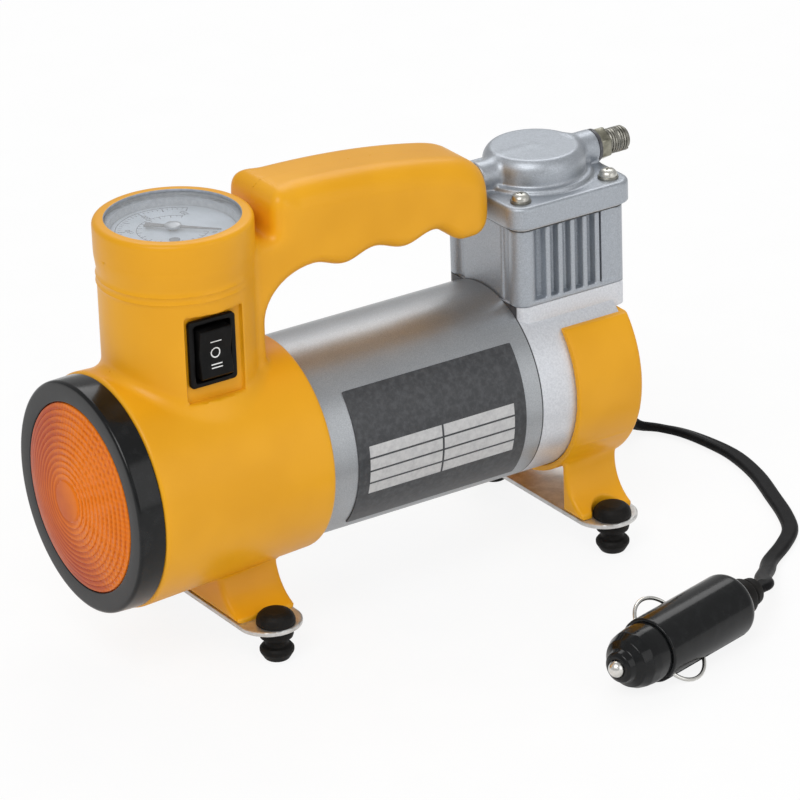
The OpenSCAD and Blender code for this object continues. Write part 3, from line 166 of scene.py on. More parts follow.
def makeCamera(c):
    a, e, r = (math.radians(c[k]) for k in ("azimuth", "elevation", "roll"))
    back = Vector((math.sin(a) * math.cos(e), -math.cos(a) * math.cos(e), math.sin(e)))
    right = Vector((math.cos(a), math.sin(a), 0))
    up = back.cross(right)
    data = bpy.data.cameras.new("camera")
    data.sensor_fit = "HORIZONTAL"
    data.sensor_width = c["sensor"]
    data.lens = c["lens"]
    data.clip_end = c["far"]
    scene.camera = addObject("camera", data)
    m = Matrix((right * math.cos(r) + up * math.sin(r), up * math.cos(r) - right * math.sin(r), back))
    m = m.transposed().to_4x4()
    m.translation = Vector(c["target"]) + back * c["distance"]
    scene.camera.matrix_world = m


makeCamera(camera)
print("camera placed")


class Wire:
    # An output socket that takes part in plain arithmetic
    def __init__(self, tree, socket):
        self.tree = tree
        self.socket = socket

    def node(self, kind, links=None, out=0, **settings):
        n = self.tree.nodes.new(kind)
        for key, value in settings.items():
            setattr(n, key, value)
        for key, value in (links or {}).items():
            if isinstance(value, Wire):
                self.tree.links.new(value.socket, n.inputs[key])
            else:
                n.inputs[key].default_value = value
        return Wire(self.tree, n.outputs[out])

    def calc(self, op, other=0.0, turned=False):
        a, b = (other, self) if turned else (self, other)
        return self.node("ShaderNodeMath", {0: a, 1: b}, operation=op)

    def ramp(self, low, high, a=0.0, b=1.0):
        return self.node("ShaderNodeMapRange", {0: self, 1: low, 2: high, 3: a, 4: b},
                         interpolation_type="SMOOTHSTEP")

    def mix(self, a, b):
        # Colour a where this is 0 and b where it is 1
        a, b = (c if isinstance(c, Wire) else (*c, 1.0) for c in (a, b))
        return self.node("ShaderNodeMix", {0: self, 6: a, 7: b}, out=2, data_type="RGBA")

    def noise(self, scale, detail=3.0, rough=0.5):
        return self.node("ShaderNodeTexNoise", {"Vector": self, "Scale": scale, "Detail": detail,
                                                "Roughness": rough})

    def parts(self):
        n = self.node("ShaderNodeSeparateXYZ", {0: self})
        return [Wire(self.tree, n.socket.node.outputs[i]) for i in range(3)]


def mathMethod(op, turned=False):
    def method(self, other=0.0):
        return self.calc(op, other, turned)
    return method


for word, op in (("add", "ADD"), ("sub", "SUBTRACT"), ("mul", "MULTIPLY"), ("truediv", "DIVIDE"),
                 ("pow", "POWER")):
    setattr(Wire, f"__{word}__", mathMethod(op))
    setattr(Wire, f"__r{word}__", mathMethod(op, True))
for word, op in (("over", "GREATER_THAN"), ("under", "LESS_THAN"), ("most", "MAXIMUM"), ("sine", "SINE"),
                 ("cosine", "COSINE"), ("size", "ABSOLUTE")):
    setattr(Wire, word, mathMethod(op))


class Finish:
    # A Principled material with its coordinates in millimetres round the motor axis
    def __init__(self, name, **sockets):
        self.mat = bpy.data.materials.new(name)
        self.mat.use_nodes = True
        tree = self.mat.node_tree
        self.shader = tree.nodes["Principled BSDF"]
        for key, value in sockets.items():
            self.set(key.replace("_", " "), value)
        raw = Wire(tree, tree.nodes.new("ShaderNodeTexCoord").outputs["Object"])
        self.where = raw.node("ShaderNodeMapping", {
            "Vector": raw, "Location": (0, -place["yShift"], -place["axisHeight"]),
            "Scale": (1000, 1000, 1000)})
        self.noise = self.where.noise

    def set(self, key, value):
        socket = self.shader.inputs[key]
        if isinstance(value, Wire):
            value.tree.links.new(value.socket, socket)
        else:
            socket.default_value = value

    def tone(self, share, low, high):
        self.set("Base Color", share.mix(low, high))

    def bump(self, height, strength, distance=0.0002):
        links = {"Height": height, "Strength": strength, "Distance": distance}
        self.set("Normal", height.node("ShaderNodeBump", links))


def yellowPlastic():
    f = Finish("yellowPlastic", IOR=1.5, Specular_IOR_Level=0.27, Coat_Weight=0.05, Coat_Roughness=0.15)
    fine = f.noise(1.1, 4.0, 0.6)
    f.tone(f.noise(0.035, 2.0).ramp(0.35, 0.68), (0.79, 0.362, 0.007), (0.85, 0.400, 0.011))
    f.set("Roughness", 0.30 + 0.10 * f.noise(0.12) + 0.04 * fine)
    f.bump(f.noise(0.55, 2.0) * 0.7 + fine * 0.3, 0.10, 0.0003)
    return f.mat


def blackPlastic(name, rough, base, shine, coat):
    f = Finish(name, IOR=1.5, Specular_IOR_Level=shine, Coat_Weight=coat, Coat_Roughness=0.06)
    dust = f.noise(0.25, 4.0, 0.65)
    f.tone(dust.ramp(0.45, 0.75), base, [c * 1.8 + 0.002 for c in base])
    f.set("Roughness", rough + 0.10 * f.noise(0.4) * dust)
    f.bump(f.noise(0.8), 0.06)
    return f.mat


def silverPaint():
    # Lacquered steel can: fine metallic flake with faint turning marks
    f = Finish("silverPaint", IOR=1.5, Coat_Weight=0.2, Coat_Roughness=0.15)
    flake = f.noise(3.2, 5.0, 0.75)
    turning = (f.where.parts()[1] * 5.0).sine()
    share = (flake * 0.85 + f.noise(0.06, 2.0) * 0.15).ramp(0.3, 0.72)
    f.tone(share, (0.31, 0.325, 0.345), (0.49, 0.51, 0.53))
    f.set("Metallic", 0.72 + 0.2 * flake)
    f.set("Roughness", 0.33 + 0.12 * f.noise(0.9, 4.0, 0.7))
    f.bump(flake * 0.5 + turning * 0.06 + f.noise(0.7) * 0.15, 0.12, 0.00025)
    return f.mat


def castSilver():
    f = Finish("castSilver", IOR=1.5, Coat_Weight=0.15, Coat_Roughness=0.2)
    grain = f.noise(1.6, 6.0, 0.7)
    flake = f.noise(4.5, 4.0, 0.7)
    f.tone((grain * 0.4 + flake * 0.6).ramp(0.3, 0.72), (0.30, 0.325, 0.36), (0.52, 0.555, 0.60))
    f.set("Metallic", 0.6 + 0.25 * flake)
    f.set("Roughness", 0.34 + 0.16 * grain)
    f.bump(grain * 0.7 + flake * 0.3, 0.28, 0.0003)
    return f.mat


def sleeveSilver():
    # Bare cast sleeve, brighter than the can partly as a painted highlight, with a dark line where the two
    # meet
    f = Finish("sleeveSilver", IOR=1.5, Coat_Weight=0.1, Coat_Roughness=0.2)
    grain = f.noise(1.5, 5.0, 0.7)
    # Brighter bare metal, its lightness partly a painted highlight
    bareAndSheen = grain.ramp(0.3, 0.7).mix((0.60, 0.62, 0.66), (0.74, 0.76, 0.80))
    f.tone(f.where.parts()[1].ramp(0.3, 0.55), (0.05, 0.05, 0.055), bareAndSheen)
    f.set("Metallic", 0.35 + 0.2 * grain)
    f.set("Roughness", 0.30 + 0.14 * grain)
    f.bump(grain, 0.2, 0.0003)
    return f.mat


def steelFinish(name, low, high, rough):
    f = Finish(name, Metallic=1.0, IOR=2.0)
    smear = f.noise(0.35, 4.0, 0.6)
    drawn = f.where.node("ShaderNodeMapping", {"Vector": f.where, "Scale": (0.3, 4.0, 4.0)})
    marks = drawn.noise(1.2, 5.0, 0.7)
    f.tone(smear.ramp(0.3, 0.7), low, high)
    f.set("Roughness", rough + 0.14 * smear + 0.08 * marks)
    f.bump(marks, 0.12)
    return f.mat


def rubberFinish(name, base, rough, shine):
    f = Finish(name, IOR=1.5, Specular_IOR_Level=shine)
    cloud = f.noise(0.3, 4.0, 0.6)
    f.tone(cloud.ramp(0.35, 0.75), base, [c * 2.0 for c in base])
    f.set("Roughness", rough + 0.15 * cloud)
    f.bump(f.noise(2.0, 4.0, 0.6), 0.15)
    return f.mat


def plainFinish(name, low, high, rough, metal=0.0, scale=0.6, bump=0.1):
    f = Finish(name, Metallic=metal, IOR=1.5)
    cloud = f.noise(scale, 4.0, 0.6)
    f.tone(cloud.ramp(0.3, 0.7), low, high)
    f.set("Roughness", rough + 0.12 * cloud)
    f.bump(f.noise(scale * 3, 4.0), bump)
    return f.mat


def amberFinish():
    # Tinted plastic with painted light: a painted glow brightest in the core and on the lit side, darker
    # toward the rim, with prism rings
    f = Finish("amberLens", IOR=1.49, Specular_IOR_Level=0.10, Transmission_Weight=0.08)
    x, _, z = f.where.parts()
    radius = (x * x + z * z) ** 0.5
    wave = (radius * (2 * math.pi / 1.85)).sine() * 0.5 + 0.5
    ringed = radius.ramp(6.2, 7.4)
    # Painted highlight: the lens is lighter on its lit side, and its cross-hatched prisms shine only there
    side = (x * 0.9 + z * 0.4).ramp(-8.0, 14.0)
    cross = ((x + z) * 1.9).sine() * ((x - z) * 1.9).sine()
    glow = radius.ramp(2.0, 30.0, 0.4, 0.12) + f.noise(0.12, 3.0, 0.6) * 0.3 - 0.12
    glow = glow + (wave * 0.2 + cross * side * 0.14) * ringed + side * 0.5
    f.tone(glow.ramp(0.1, 0.95), (0.40, 0.044, 0.010), (0.84, 0.215, 0.010))
    # Painted glow: a faint emission, though no lamp lights the lens
    f.set("Emission Color", (0.9, 0.16, 0.01, 1.0))
    f.set("Emission Strength", 0.05)
    f.set("Roughness", 0.12 + 0.10 * f.noise(0.6))
    f.bump(wave * ringed * 0.4 + cross * side * ringed * 0.5, 0.3, 0.0006)
    return f.mat


def glassFinish(name, alpha, tint):
    f = Finish(name, IOR=1.45, Coat_Weight=0.6, Coat_Roughness=0.02)
    smear = f.noise(0.12)
    f.tone(smear.ramp(0.3, 0.7), tint, [c * 0.97 for c in tint])
    f.set("Roughness", 0.03 + 0.05 * smear)
    f.set("Alpha", alpha + 0.05 * smear)
    f.mat.surface_render_method = "BLENDED"
    return f.mat


finish = {
    "yellow": yellowPlastic(),
    "blackGloss": blackPlastic("blackGloss", 0.15, (0.005, 0.0055, 0.006), 0.25, 0.05),
    "blackSatin": blackPlastic("blackSatin", 0.38, (0.0035, 0.0035, 0.0035), 0.13, 0.0),
    "silver": silverPaint(),
    "sleeve": sleeveSilver(),
    "cast": castSilver(),
    "steel": steelFinish("plainSteel", (0.40, 0.40, 0.39), (0.62, 0.61, 0.59), 0.26),
    "zinc": steelFinish("zincSteel", (0.50, 0.49, 0.45), (0.72, 0.71, 0.66), 0.24),
    "bright": steelFinish("brightNickel", (0.62, 0.61, 0.58), (0.80, 0.79, 0.76), 0.12),
    "threadSteel": steelFinish("threadSteel", (0.20, 0.195, 0.17), (0.40, 0.39, 0.35), 0.30),
    "nutSteel": steelFinish("nutSteel", (0.16, 0.155, 0.12), (0.34, 0.33, 0.27), 0.22),
    "strapSteel": steelFinish("strapSteel", (0.60, 0.60, 0.59), (0.76, 0.76, 0.75), 0.40),
    "hub": steelFinish("hubNickel", (0.34, 0.36, 0.39), (0.50, 0.52, 0.55), 0.30),
    "rubber": rubberFinish("blackRubber", (0.007, 0.0065, 0.006), 0.45, 0.13),
    "vinyl": rubberFinish("cordVinyl", (0.005, 0.005, 0.0055), 0.36, 0.09),
    "amber": amberFinish(),
    "window": glassFinish("clearWindow", 0.16, (0.93, 0.95, 0.96)),
    "bulb": glassFinish("bulbGlass", 0.3, (0.95, 0.95, 0.92)),
    "brass": plainFinish("brass", (0.50, 0.34, 0.12), (0.72, 0.52, 0.22), 0.28, 1.0),
    "copper": plainFinish("enamelCopper", (0.40, 0.12, 0.04), (0.62, 0.22, 0.08), 0.30, 0.7, 1.2, 0.3),
    "magnet": plainFinish("sinteredMagnet", (0.05, 0.046, 0.042), (0.10, 0.095, 0.09), 0.55, 0.0, 1.5, 0.3),
    "laminate": plainFinish("laminatedSteel", (0.16, 0.16, 0.17), (0.28, 0.28, 0.30), 0.40, 0.8, 1.0, 0.3),
    "board": plainFinish("brownBoard", (0.17, 0.08, 0.035), (0.26, 0.14, 0.06), 0.5),
    "carbon": plainFinish("pressedCarbon", (0.03, 0.03, 0.032), (0.06, 0.06, 0.062), 0.5, 0.0, 2.0, 0.3),
    "chrome": plainFinish("brightBowl", (0.80, 0.80, 0.80), (0.90, 0.90, 0.90), 0.08, 1.0),
    # Painted shade: the pale case wall and the white dial inside the glass are given a darker blue grey
    "case": plainFinish("gaugeCase", (0.30, 0.33, 0.37), (0.40, 0.43, 0.48), 0.34, 0.1),
    "dial": plainFinish("dialWhite", (0.43, 0.49, 0.56), (0.52, 0.58, 0.66), 0.35, 0.0, 0.15, 0.04),
    "ink": plainFinish("dialInk", (0.07, 0.08, 0.10), (0.13, 0.14, 0.16), 0.5),
    "needle": plainFinish("needlePaint", (0.05, 0.05, 0.055), (0.11, 0.11, 0.12), 0.35),
    "mark": plainFinish("whiteMark", (0.75, 0.75, 0.74), (0.88, 0.88, 0.87), 0.4),
    "gasket": plainFinish("gasketSheet", (0.05, 0.05, 0.05), (0.09, 0.09, 0.09), 0.6),
}
print("finishes made:", len(finish))


def dress(obj, key):
    obj.data.materials.clear()
    obj.data.materials.append(finish[key])
    return obj


def standIn(obj, key, node=None):
    # Finish and slot of a piece, and the first shape that it takes the place of
    dress(obj, key)
    if node:
        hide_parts(node)
    return obj


cordPlan = {
    "exit": (7, 41.3, -13), "width": 5.2, "thick": 2.8, "plugEnd": (97.4, 29.4, -43.0), "plugTurn": 15.5,
    "plugRoll": 42.96, "route": [
        (7, 41.3, -13), (7, 43.8, -13), (7, 46.3, -13), (2, 52, -15.5), (-6, 57, -20), (-15, 62, -27),
        (-24, 67.5, -36), (-31, 74, -45), (-33.5, 80.5, -50.5), (-28.8, 86.2, -51.5), (-21, 90, -51.5),
        (-9.8, 92.2, -51.5), (3, 92.7, -51.5), (18.6, 89.7, -51.5), (34.6, 84, -51.5), (47.3, 79.1, -51.5),
        (56.8, 73.8, -51.5), (63.9, 65.7, -51.5), (71.6, 55, -50.8), (80, 47.5, -48.5), (88.5, 39.5, -45.4)]}


def easeThrough(points, steps):
    # Smooth curve through the points
    p = np.array(points, float)
    ext = np.vstack([p[0], p, p[-1]])
    out = []
    for i in range(len(p) - 1):
        a, b, c, d = ext[i:i + 4]
        for t in np.arange(steps) / steps:
            bend = (2 * a - 5 * b + 4 * c - d) * t * t + (3 * b - a - 3 * c + d) * t ** 3
            out.append((2 * b + (c - a) * t + bend) / 2)
    return np.array(out + [p[-1]])


def aimsOf(path):
    a = np.gradient(path, axis=0)
    return a / np.linalg.norm(a, axis=1)[:, None]


def sweepMesh(name, path, sides, section, body, smooth):
    # A closed section carried along a path, with the side vectors that turn it
    aim = aimsOf(path)
    u = sides - (sides * aim).sum(1)[:, None] * aim
    u /= np.linalg.norm(u, axis=1)[:, None]
    v = np.cross(aim, u)
    sec = np.array(section, float)
    pts = path[:, None] + sec[None, :, 0, None] * u[:, None] + sec[None, :, 1, None] * v[:, None]
    return makeMesh(name, pts.reshape(-1, 3), tubeFaces(len(path), len(sec)), body, smooth)


def plugPoint(x, y, z):
    # From the plug's own axes, with +y toward the cord
    t, k = math.radians(cordPlan["plugTurn"]), math.radians(cordPlan["plugRoll"])
    px, py, pz = cordPlan["plugEnd"]
    u, w = x * math.cos(k) + z * math.sin(k), z * math.cos(k) - x * math.sin(k)
    return (px + u * math.cos(t) - y * math.sin(t), py + u * math.sin(t) + y * math.cos(t), pz + w)


def makeCord(c):
    path = easeThrough(c["route"] + [plugPoint(0, y, 0) for y in (6, 3, 0)], 6)
    run = np.concatenate([[0], np.cumsum(np.linalg.norm(np.diff(path, axis=0), axis=1))])
    flat = np.cross(aimsOf(path), (0, 0, 1.0))
    flat /= np.linalg.norm(flat, axis=1)[:, None]
    # The ribbon leaves on edge and lies flat from halfway
    f = np.radians(90 * np.clip(1 - run / run[-1] / 0.5, 0, 1))[:, None]
    sides = flat * np.cos(f) + np.array((0, 0, 1.0)) * np.sin(f)
    # Two round conductors side by side with a web between
    w, r = (c["width"] - c["thick"]) / 2, c["thick"] / 2
    section = [(side * w + r * math.cos(a), r * math.sin(a)) for side, start in ((1, -110), (-1, 70))
               for a in np.radians(np.arange(start, start + 221, 20))]
    cord = sweepMesh("powerCord", path, sides, section, "housing", 60)
    print("cord runs", round(run[-1], 1), "mm")
    return cord, toRow(path), run[-1] / 1000


cordPiece, cordPath, cordLength = makeCord(cordPlan)
standIn(cordPiece, "vinyl", "power_cord")


def softPath(points, radius, steps=4):
    # Rounds the corners of a closed outline: radius is one number, or one for each point
    p = [np.array(q, float) for q in points]
    n = len(p)
    rad = [radius] * n if np.isscalar(radius) else list(radius)
    shares = np.arange(steps + 1) / steps
    out = []
    for i in range(n):
        a, b = p[i - 1] - p[i], p[(i + 1) % n] - p[i]
        la, lb = np.linalg.norm(a), np.linalg.norm(b)
        if rad[i] <= 0:
            out.append(p[i])
        elif la > 1e-9 and lb > 1e-9:
            cosine = np.clip((a / la) @ (b / lb), -0.9999, 0.9999)
            # Two rounded corners share the edge between them
            room = [length * (0.48 if beside > 0 else 0.97)
                    for length, beside in ((la, rad[i - 1]), (lb, rad[(i + 1) % n]))]
            cut = min(rad[i] / math.tan(math.acos(cosine) / 2), *room)
            s, e = p[i] + a / la * cut, p[i] + b / lb * cut
            out += [(1 - t) ** 2 * s + 2 * t * (1 - t) * p[i] + t * t * e for t in shares]
    return out


def turned(outline, steps, wave=None):
    # Points and faces of a closed outline of (radius, height) turned round z
    pts, rings, faces = [], [], []
    for r, h in outline:
        around = steps if r > 1e-6 else 1
        rings.append(range(len(pts), len(pts) + around))
        for k in range(around):
            a = 2 * math.pi * k / steps
            rr = wave(r, h, a) if wave else r
            pts.append((rr * math.cos(a), rr * math.sin(a), h))
    for a, b in zip(rings, rings[1:] + rings[:1]):
        for k in range(steps if len(a) + len(b) > 2 else 0):
            q = [a[k % len(a)], a[(k + 1) % len(a)], b[(k + 1) % len(b)], b[k % len(b)]]
            faces.append([v for j, v in enumerate(q) if v not in q[:j]])
    return pts, faces


def lathe(name, outline, body, axis="y", at=(0, 0, 0), steps=96, smooth=35, turn=None, wave=None):
    pts, faces = turned(outline, steps, wave)
    p = np.array(pts)[:, (0, 2, 1) if axis == "y" else (0, 1, 2)] + np.array(at, float)
    if turn:
        p = [turn(*q) for q in p]
    return makeMesh(name, p, faces, body, smooth)


def prism(name, outline, low, high, axis, body, bevel, at):
    # Flat outline given a thickness along an axis, with its edges rounded
    pts = np.array([(u, v, w) for w in (low, high) for u, v in outline], float)
    pts = pts[:, (0, 1, 2) if axis == "z" else (0, 2, 1)] + np.array(at, float)
    obj = makeMesh(name, pts, tubeFaces(2, len(outline)), body)
    mod = obj.modifiers.new("soften", "BEVEL")
    mod.width = bevel / 1000
    mod.segments = 3
    mod.limit_method = "ANGLE"
    mod.angle_limit = math.radians(30)
    mod.use_clamp_overlap = True
    bakeModifiers(obj)
    shadeBy(obj, 30)
    return obj


def bakeModifiers(obj):
    deps = bpy.context.evaluated_depsgraph_get()
    mesh = bpy.data.meshes.new_from_object(obj.evaluated_get(deps), preserve_all_data_layers=True,
                                           depsgraph=deps)
    old = obj.data
    obj.modifiers.clear()
    obj.data = mesh
    bpy.data.meshes.remove(old)


def joinPieces(first, *others):
    # Puts the meshes of several pieces in the first
    bm = bmesh.new()
    for o in (first, *others):
        bm.from_mesh(o.data)
    bm.to_mesh(first.data)
    bm.free()
    for o in others:
        bpy.data.objects.remove(o)
    return first


# Forms are signed distances in millimetres, below zero inside
def joinSoft(a, b, r):
    # Union of two forms with a fillet of radius r
    return np.maximum(r, np.minimum(a, b)) - np.hypot(np.maximum(r - a, 0), np.maximum(r - b, 0))


def cutSoft(a, b, r):
    # What two forms share, with the edge between them rounded to radius r
    return np.minimum(-r, np.maximum(a, b)) + np.hypot(np.maximum(r + a, 0), np.maximum(r + b, 0))


def without(form, *others):
    # A form less other forms, with sharp edges
    for o in others:
        form = np.maximum(form, -o)
    return form


def between(c, low, high):
    return np.abs(c - (low + high) / 2) - (high - low) / 2


def blockForm(x, y, z, low, high, r=0.0):
    q = [between(c, a, b) + r for c, a, b in zip((x, y, z), low, high)]
    out = np.sqrt(sum(np.maximum(c, 0) ** 2 for c in q))
    return out + np.minimum(np.maximum(np.maximum(q[0], q[1]), q[2]), 0) - r


def squareForm(u, v, halfU, halfV, corner):
    qu, qv = np.abs(u) - halfU + corner, np.abs(v) - halfV + corner
    return np.hypot(np.maximum(qu, 0), np.maximum(qv, 0)) + np.minimum(np.maximum(qu, qv), 0) - corner


def outlineForm(points, pad=14.0, step=0.35):
    # Signed distance to a flat outline, kept as a table
    p = np.array(points, float)
    low, high = p.min(0) - pad, p.max(0) + pad
    size = [len(np.arange(a, b + step, step)) for a, b in zip(low, high)]
    u, v = (a * step + b for a, b in zip(np.indices(size), low))
    best = np.full(size, 1e9)
    inside = np.zeros(size, bool)
    for a, b in zip(p, np.roll(p, -1, 0)):
        e = b - a
        t = np.clip(((u - a[0]) * e[0] + (v - a[1]) * e[1]) / max(e @ e, 1e-12), 0, 1)
        best = np.minimum(best, np.hypot(u - a[0] - t * e[0], v - a[1] - t * e[1]))
        if a[1] != b[1]:
            inside ^= ((a[1] > v) != (b[1] > v)) & (u < (b[0] - a[0]) * (v - a[1]) / (b[1] - a[1]) + a[0])
    table = np.where(inside, -best, best)

    def read(u, v):
        fu, fv = (np.clip((c - a) / step, 0, n - 1.001) for c, a, n in zip((u, v), low, size))
        i, j = fu.astype(int), fv.astype(int)
        s, t = fu - i, fv - j
        near, far = (table[i, k] * (1 - s) + table[i + 1, k] * s for k in (j, j + 1))
        return near * (1 - t) + far * t
    return read


def stepOnto(form, pts, limit, free=(0, 1, 2)):
    # Moves points one step toward the surface of a form, along the free axes
    e = 0.04
    d = form(*pts.T)
    offsets = np.eye(3)[list(free)] * e
    g = np.stack([(form(*(pts + off).T) - form(*(pts - off).T)) / (2 * e) for off in offsets], 1)
    pts[:, list(free)] += np.clip(-d / np.maximum((g * g).sum(1), 0.2), -limit, limit)[:, None] * g


def snapToPlane(pts, whole, value, step):
    # Puts the points by the edge of a cut at x = value exactly on that edge
    near = np.where(np.abs(pts[:, 0] - value) < 0.6 * step)[0]
    q = pts[near].copy()
    q[:, 0] = value
    pick = np.abs(whole(*q.T)) < 0.6 * step
    near, q = near[pick], q[pick]
    for _ in range(3):
        stepOnto(whole, q, 0.4 * step, (1, 2))
    pts[near] = q


def snapToRim(pts, form, at, radius, z, step):
    # Puts the points by a round rim exactly on it where the rim is free
    away = pts[:, :2] - at
    far = np.hypot(*away.T)
    near = np.where((np.abs(pts[:, 2] - z) < 0.62 * step) & (np.abs(far - radius) < 0.62 * step))[0]
    q = np.column_stack([at + away[near] / far[near, None] * radius, np.full(len(near), z)])
    free = np.abs(form(*q.T)) < 0.06
    pts[near[free]] = q[free]


def meshForm(name, form, low, high, step, body, smooth=40, cut=None, rim=None):
    # Dual-grid surface of a form, then moved onto it exactly
    axes = [np.arange(a, b + step, step) for a, b in zip(low, high)]
    grid = np.meshgrid(*axes, indexing="ij")
    val = np.empty(grid[0].shape, np.float32)
    slab = max(1, int(4e5 // grid[0][0].size))
    for i in range(0, len(val), slab):
        val[i:i + slab] = form(*(g[i:i + slab] for g in grid))
    neg = val < 0
    s = tuple(n - 1 for n in val.shape)
    corners = [(a, b, c) for a in (0, 1) for b in (0, 1) for c in (0, 1)]
    count = sum(neg[a:s[0] + a, b:s[1] + b, c:s[2] + c].astype(np.uint8) for a, b, c in corners)
    cells = np.argwhere((count > 0) & (count < 8))
    index = np.full(s, -1, np.int32)
    index[tuple(cells.T)] = np.arange(len(cells))
    value = {k: val[tuple((cells + k).T)].astype(float) for k in corners}
    # Mean of the places where the surface crosses the edges of a cell
    total, number = np.zeros((len(cells), 3)), np.zeros(len(cells))
    for k in corners:
        for ax in range(3):
            if k[ax] == 0:
                f0, f1 = value[k], value[tuple(1 if i == ax else k[i] for i in range(3))]
                hit = (f0 < 0) != (f1 < 0)
                point = np.tile(np.array(k, float), (len(cells), 1))
                point[:, ax] += np.where(hit, f0 / np.where(hit, f0 - f1, 1), 0)
                total += point * hit[:, None]
                number += hit
    pts = (cells + total / number[:, None]) * step + np.array([a[0] for a in axes])
    for _ in range(2):
        stepOnto(form, pts, 0.6 * step)
    if cut:
        snapToPlane(pts, *cut, step)
    if rim:
        snapToRim(pts, form, *rim, step)
    quads = []
    for ax in range(3):
        b, c = (ax + 1) % 3, (ax + 2) % 3
        at = np.argwhere(np.diff(neg, axis=ax))
        at = at[(at[:, b] > 0) & (at[:, c] > 0) & (at[:, b] < s[b]) & (at[:, c] < s[c])]
        ring = []
        for db, dc in ((1, 1), (0, 1), (0, 0), (1, 0)):
            q = at.copy()
            q[:, b] -= db
            q[:, c] -= dc
            ring.append(index[tuple(q.T)])
        ring = np.stack(ring, 1)
        back = ~neg[tuple(at.T)]
        ring[back] = ring[back][:, ::-1]
        quads.append(ring)
    quads = np.vstack(quads)
    mesh = bpy.data.meshes.new(name)
    mesh.vertices.add(len(pts))
    mesh.vertices.foreach_set("co", toRow(pts).astype(np.float32).ravel())
    mesh.loops.add(4 * len(quads))
    mesh.loops.foreach_set("vertex_index", quads.astype(np.int32).ravel())
    mesh.polygons.add(len(quads))
    mesh.polygons.foreach_set("loop_start", np.arange(0, 4 * len(quads), 4, dtype=np.int32))
    mesh.update(calc_edges=True)
    mesh.validate()
    obj = addObject(name, mesh)
    shadeBy(obj, smooth)
    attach(obj, body)
    print(name, "has", len(quads), "faces")
    return obj


# The front housing is a tapered barrel, the gauge tower, the handle and a pair of legs, in two halves
shell = {
    "yFront": -135.0, "yRear": -75.0, "frontRadius": 36.0, "rearRadius": 33.3, "wall": 2.2, "edge": 1.3,
    "yTower": -107.0, "towerRadius": 23.0, "towerTop": 71.5, "ridges": (61.5, 63.9), "towerFillet": 3.2,
    "towerFlare": 0.62, "ridgeHigh": 0.38, "wellFloor": 40, "handleHalf": 14.0, "handleRound": 8.0,
    "underRound": 3.6, "noseEdge": 4.2, "noseRound": 8.0, "endRound": 15.0, "heelRound": 9.0, "yNose": -80.5,
    "yEnd": -2.6, "topNose": 84.3, "fall": 9.0, "gripLow": 56.0, "waveDeep": 2.6, "wavePitch": 21.2,
    "yGroove": -24.6, "gripFloor": 53.0, "yFirst": -67.0, "webY": -84.4, "webTop": 44.0, "rootTop": 70.5,
    "plate": ((17.4, -118.8, 27.7), (19.6, -95.2, 59.3)),
    "floor": ((17.4, -118.0, 27.6), (30.0, -96.0, 29.9)),
    "pocket": ((19.6, -116.6, 29.9), (60.0, -97.4, 57.1)),
    "hole": ((0.0, -115.1, 35.1), (60.0, -100.9, 54.9)),
    "bosses": [(-105, -29), (-101, 26), (-74, 75.3), (-14.6, 59.5), (-122, 49.5)], "headHole": 3.45,
    "bossWall": 1.6, "headSeat": -7.0, "grid": 0.78, "seam": 0.015}
leg = {"tip": 27.2, "top": -14.0, "floor": -41.5, "y0": -107.8, "y1": -87.3, "flareX": 30.6, "flareZ": -27.6,
       "flare": 13.0, "sideEdge": 0.5, "endEdge": 1.6, "footX": 32.5, "footY": -97.8, "notch": 6.3}


def smoothStep(t):
    k = np.clip(t, 0, 1)
    return k * k * (3 - 2 * k)


def gripUnder(s, y):
    # Finger waves, then an easing down to the heel of the handle
    turn = 2 * math.pi * (y - s["yGroove"]) / s["wavePitch"]
    if y <= s["yGroove"]:
        return s["gripLow"] + s["waveDeep"] * (1 + math.cos(turn)) / 2
    drop = s["waveDeep"] + s["gripLow"] - s["gripFloor"]
    k = min(1, (y - s["yGroove"]) / (s["wavePitch"] / 2))
    return s["gripLow"] + s["waveDeep"] - drop * (1 - math.cos(math.pi * k)) / 2


def gripOutlines(s):
    # Two outlines seen from the side: one from the top down, one from the underside up
    top = [(s["yNose"] + (s["yEnd"] - s["yNose"]) * t, s["topNose"] - s["fall"] * t ** 2.4)
           for t in np.arange(41) / 40]
    run = [q for q in top[::-1] if s["yNose"] + 8 < q[0] < s["yEnd"] - 13]
    over = [(s["yTower"], 20), (s["yEnd"], 20), top[-1], *run, top[0], (s["yNose"], s["rootTop"]),
            (s["yTower"], s["rootTop"])]
    over = softPath(over, [0, 0, s["endRound"]] + [0] * len(run) + [s["noseRound"], 3.0, 0], 8)
    reach, rise = s["yFirst"] - s["webY"], gripUnder(s, s["yFirst"]) - s["webTop"]
    under = [(s["yTower"], 10), (s["webY"], 10)]
    under += [(s["webY"] + reach * (1 - math.cos(a)), s["webTop"] + rise * math.sin(a))
              for a in np.linspace(0, math.pi / 2, 12)]
    under += [(y, gripUnder(s, y)) for y in np.linspace(s["yFirst"], s["yEnd"] - 10.5, 52)[1:]]
    under += [(s["yEnd"], s["gripFloor"]), (s["yEnd"], 110), (s["yTower"], 110)]
    return outlineForm(over), outlineForm(softPath(under, [0] * (len(under) - 3) + [s["heelRound"], 0, 0], 8))


overForm, underForm = gripOutlines(shell)


def legForm(form, x, y, z, g):
    # The flared side, the two ends and the round notch over the foot
    ax = np.abs(x)
    form = cutSoft(form, g["flare"] - np.hypot(ax - g["flareX"], z - g["flareZ"]), g["sideEdge"])
    form = cutSoft(form, between(y, g["y0"], g["y1"]), g["endEdge"])
    notch = np.maximum(np.hypot(ax - g["footX"], y - g["footY"]) - g["notch"], z - g["floor"] - 9)
    return cutSoft(form, -notch, 0.4)


def barrelRadius(s, y):
    share = (y - s["yFront"]) / (s["yRear"] - s["yFront"])
    return s["frontRadius"] + (s["rearRadius"] - s["frontRadius"]) * share


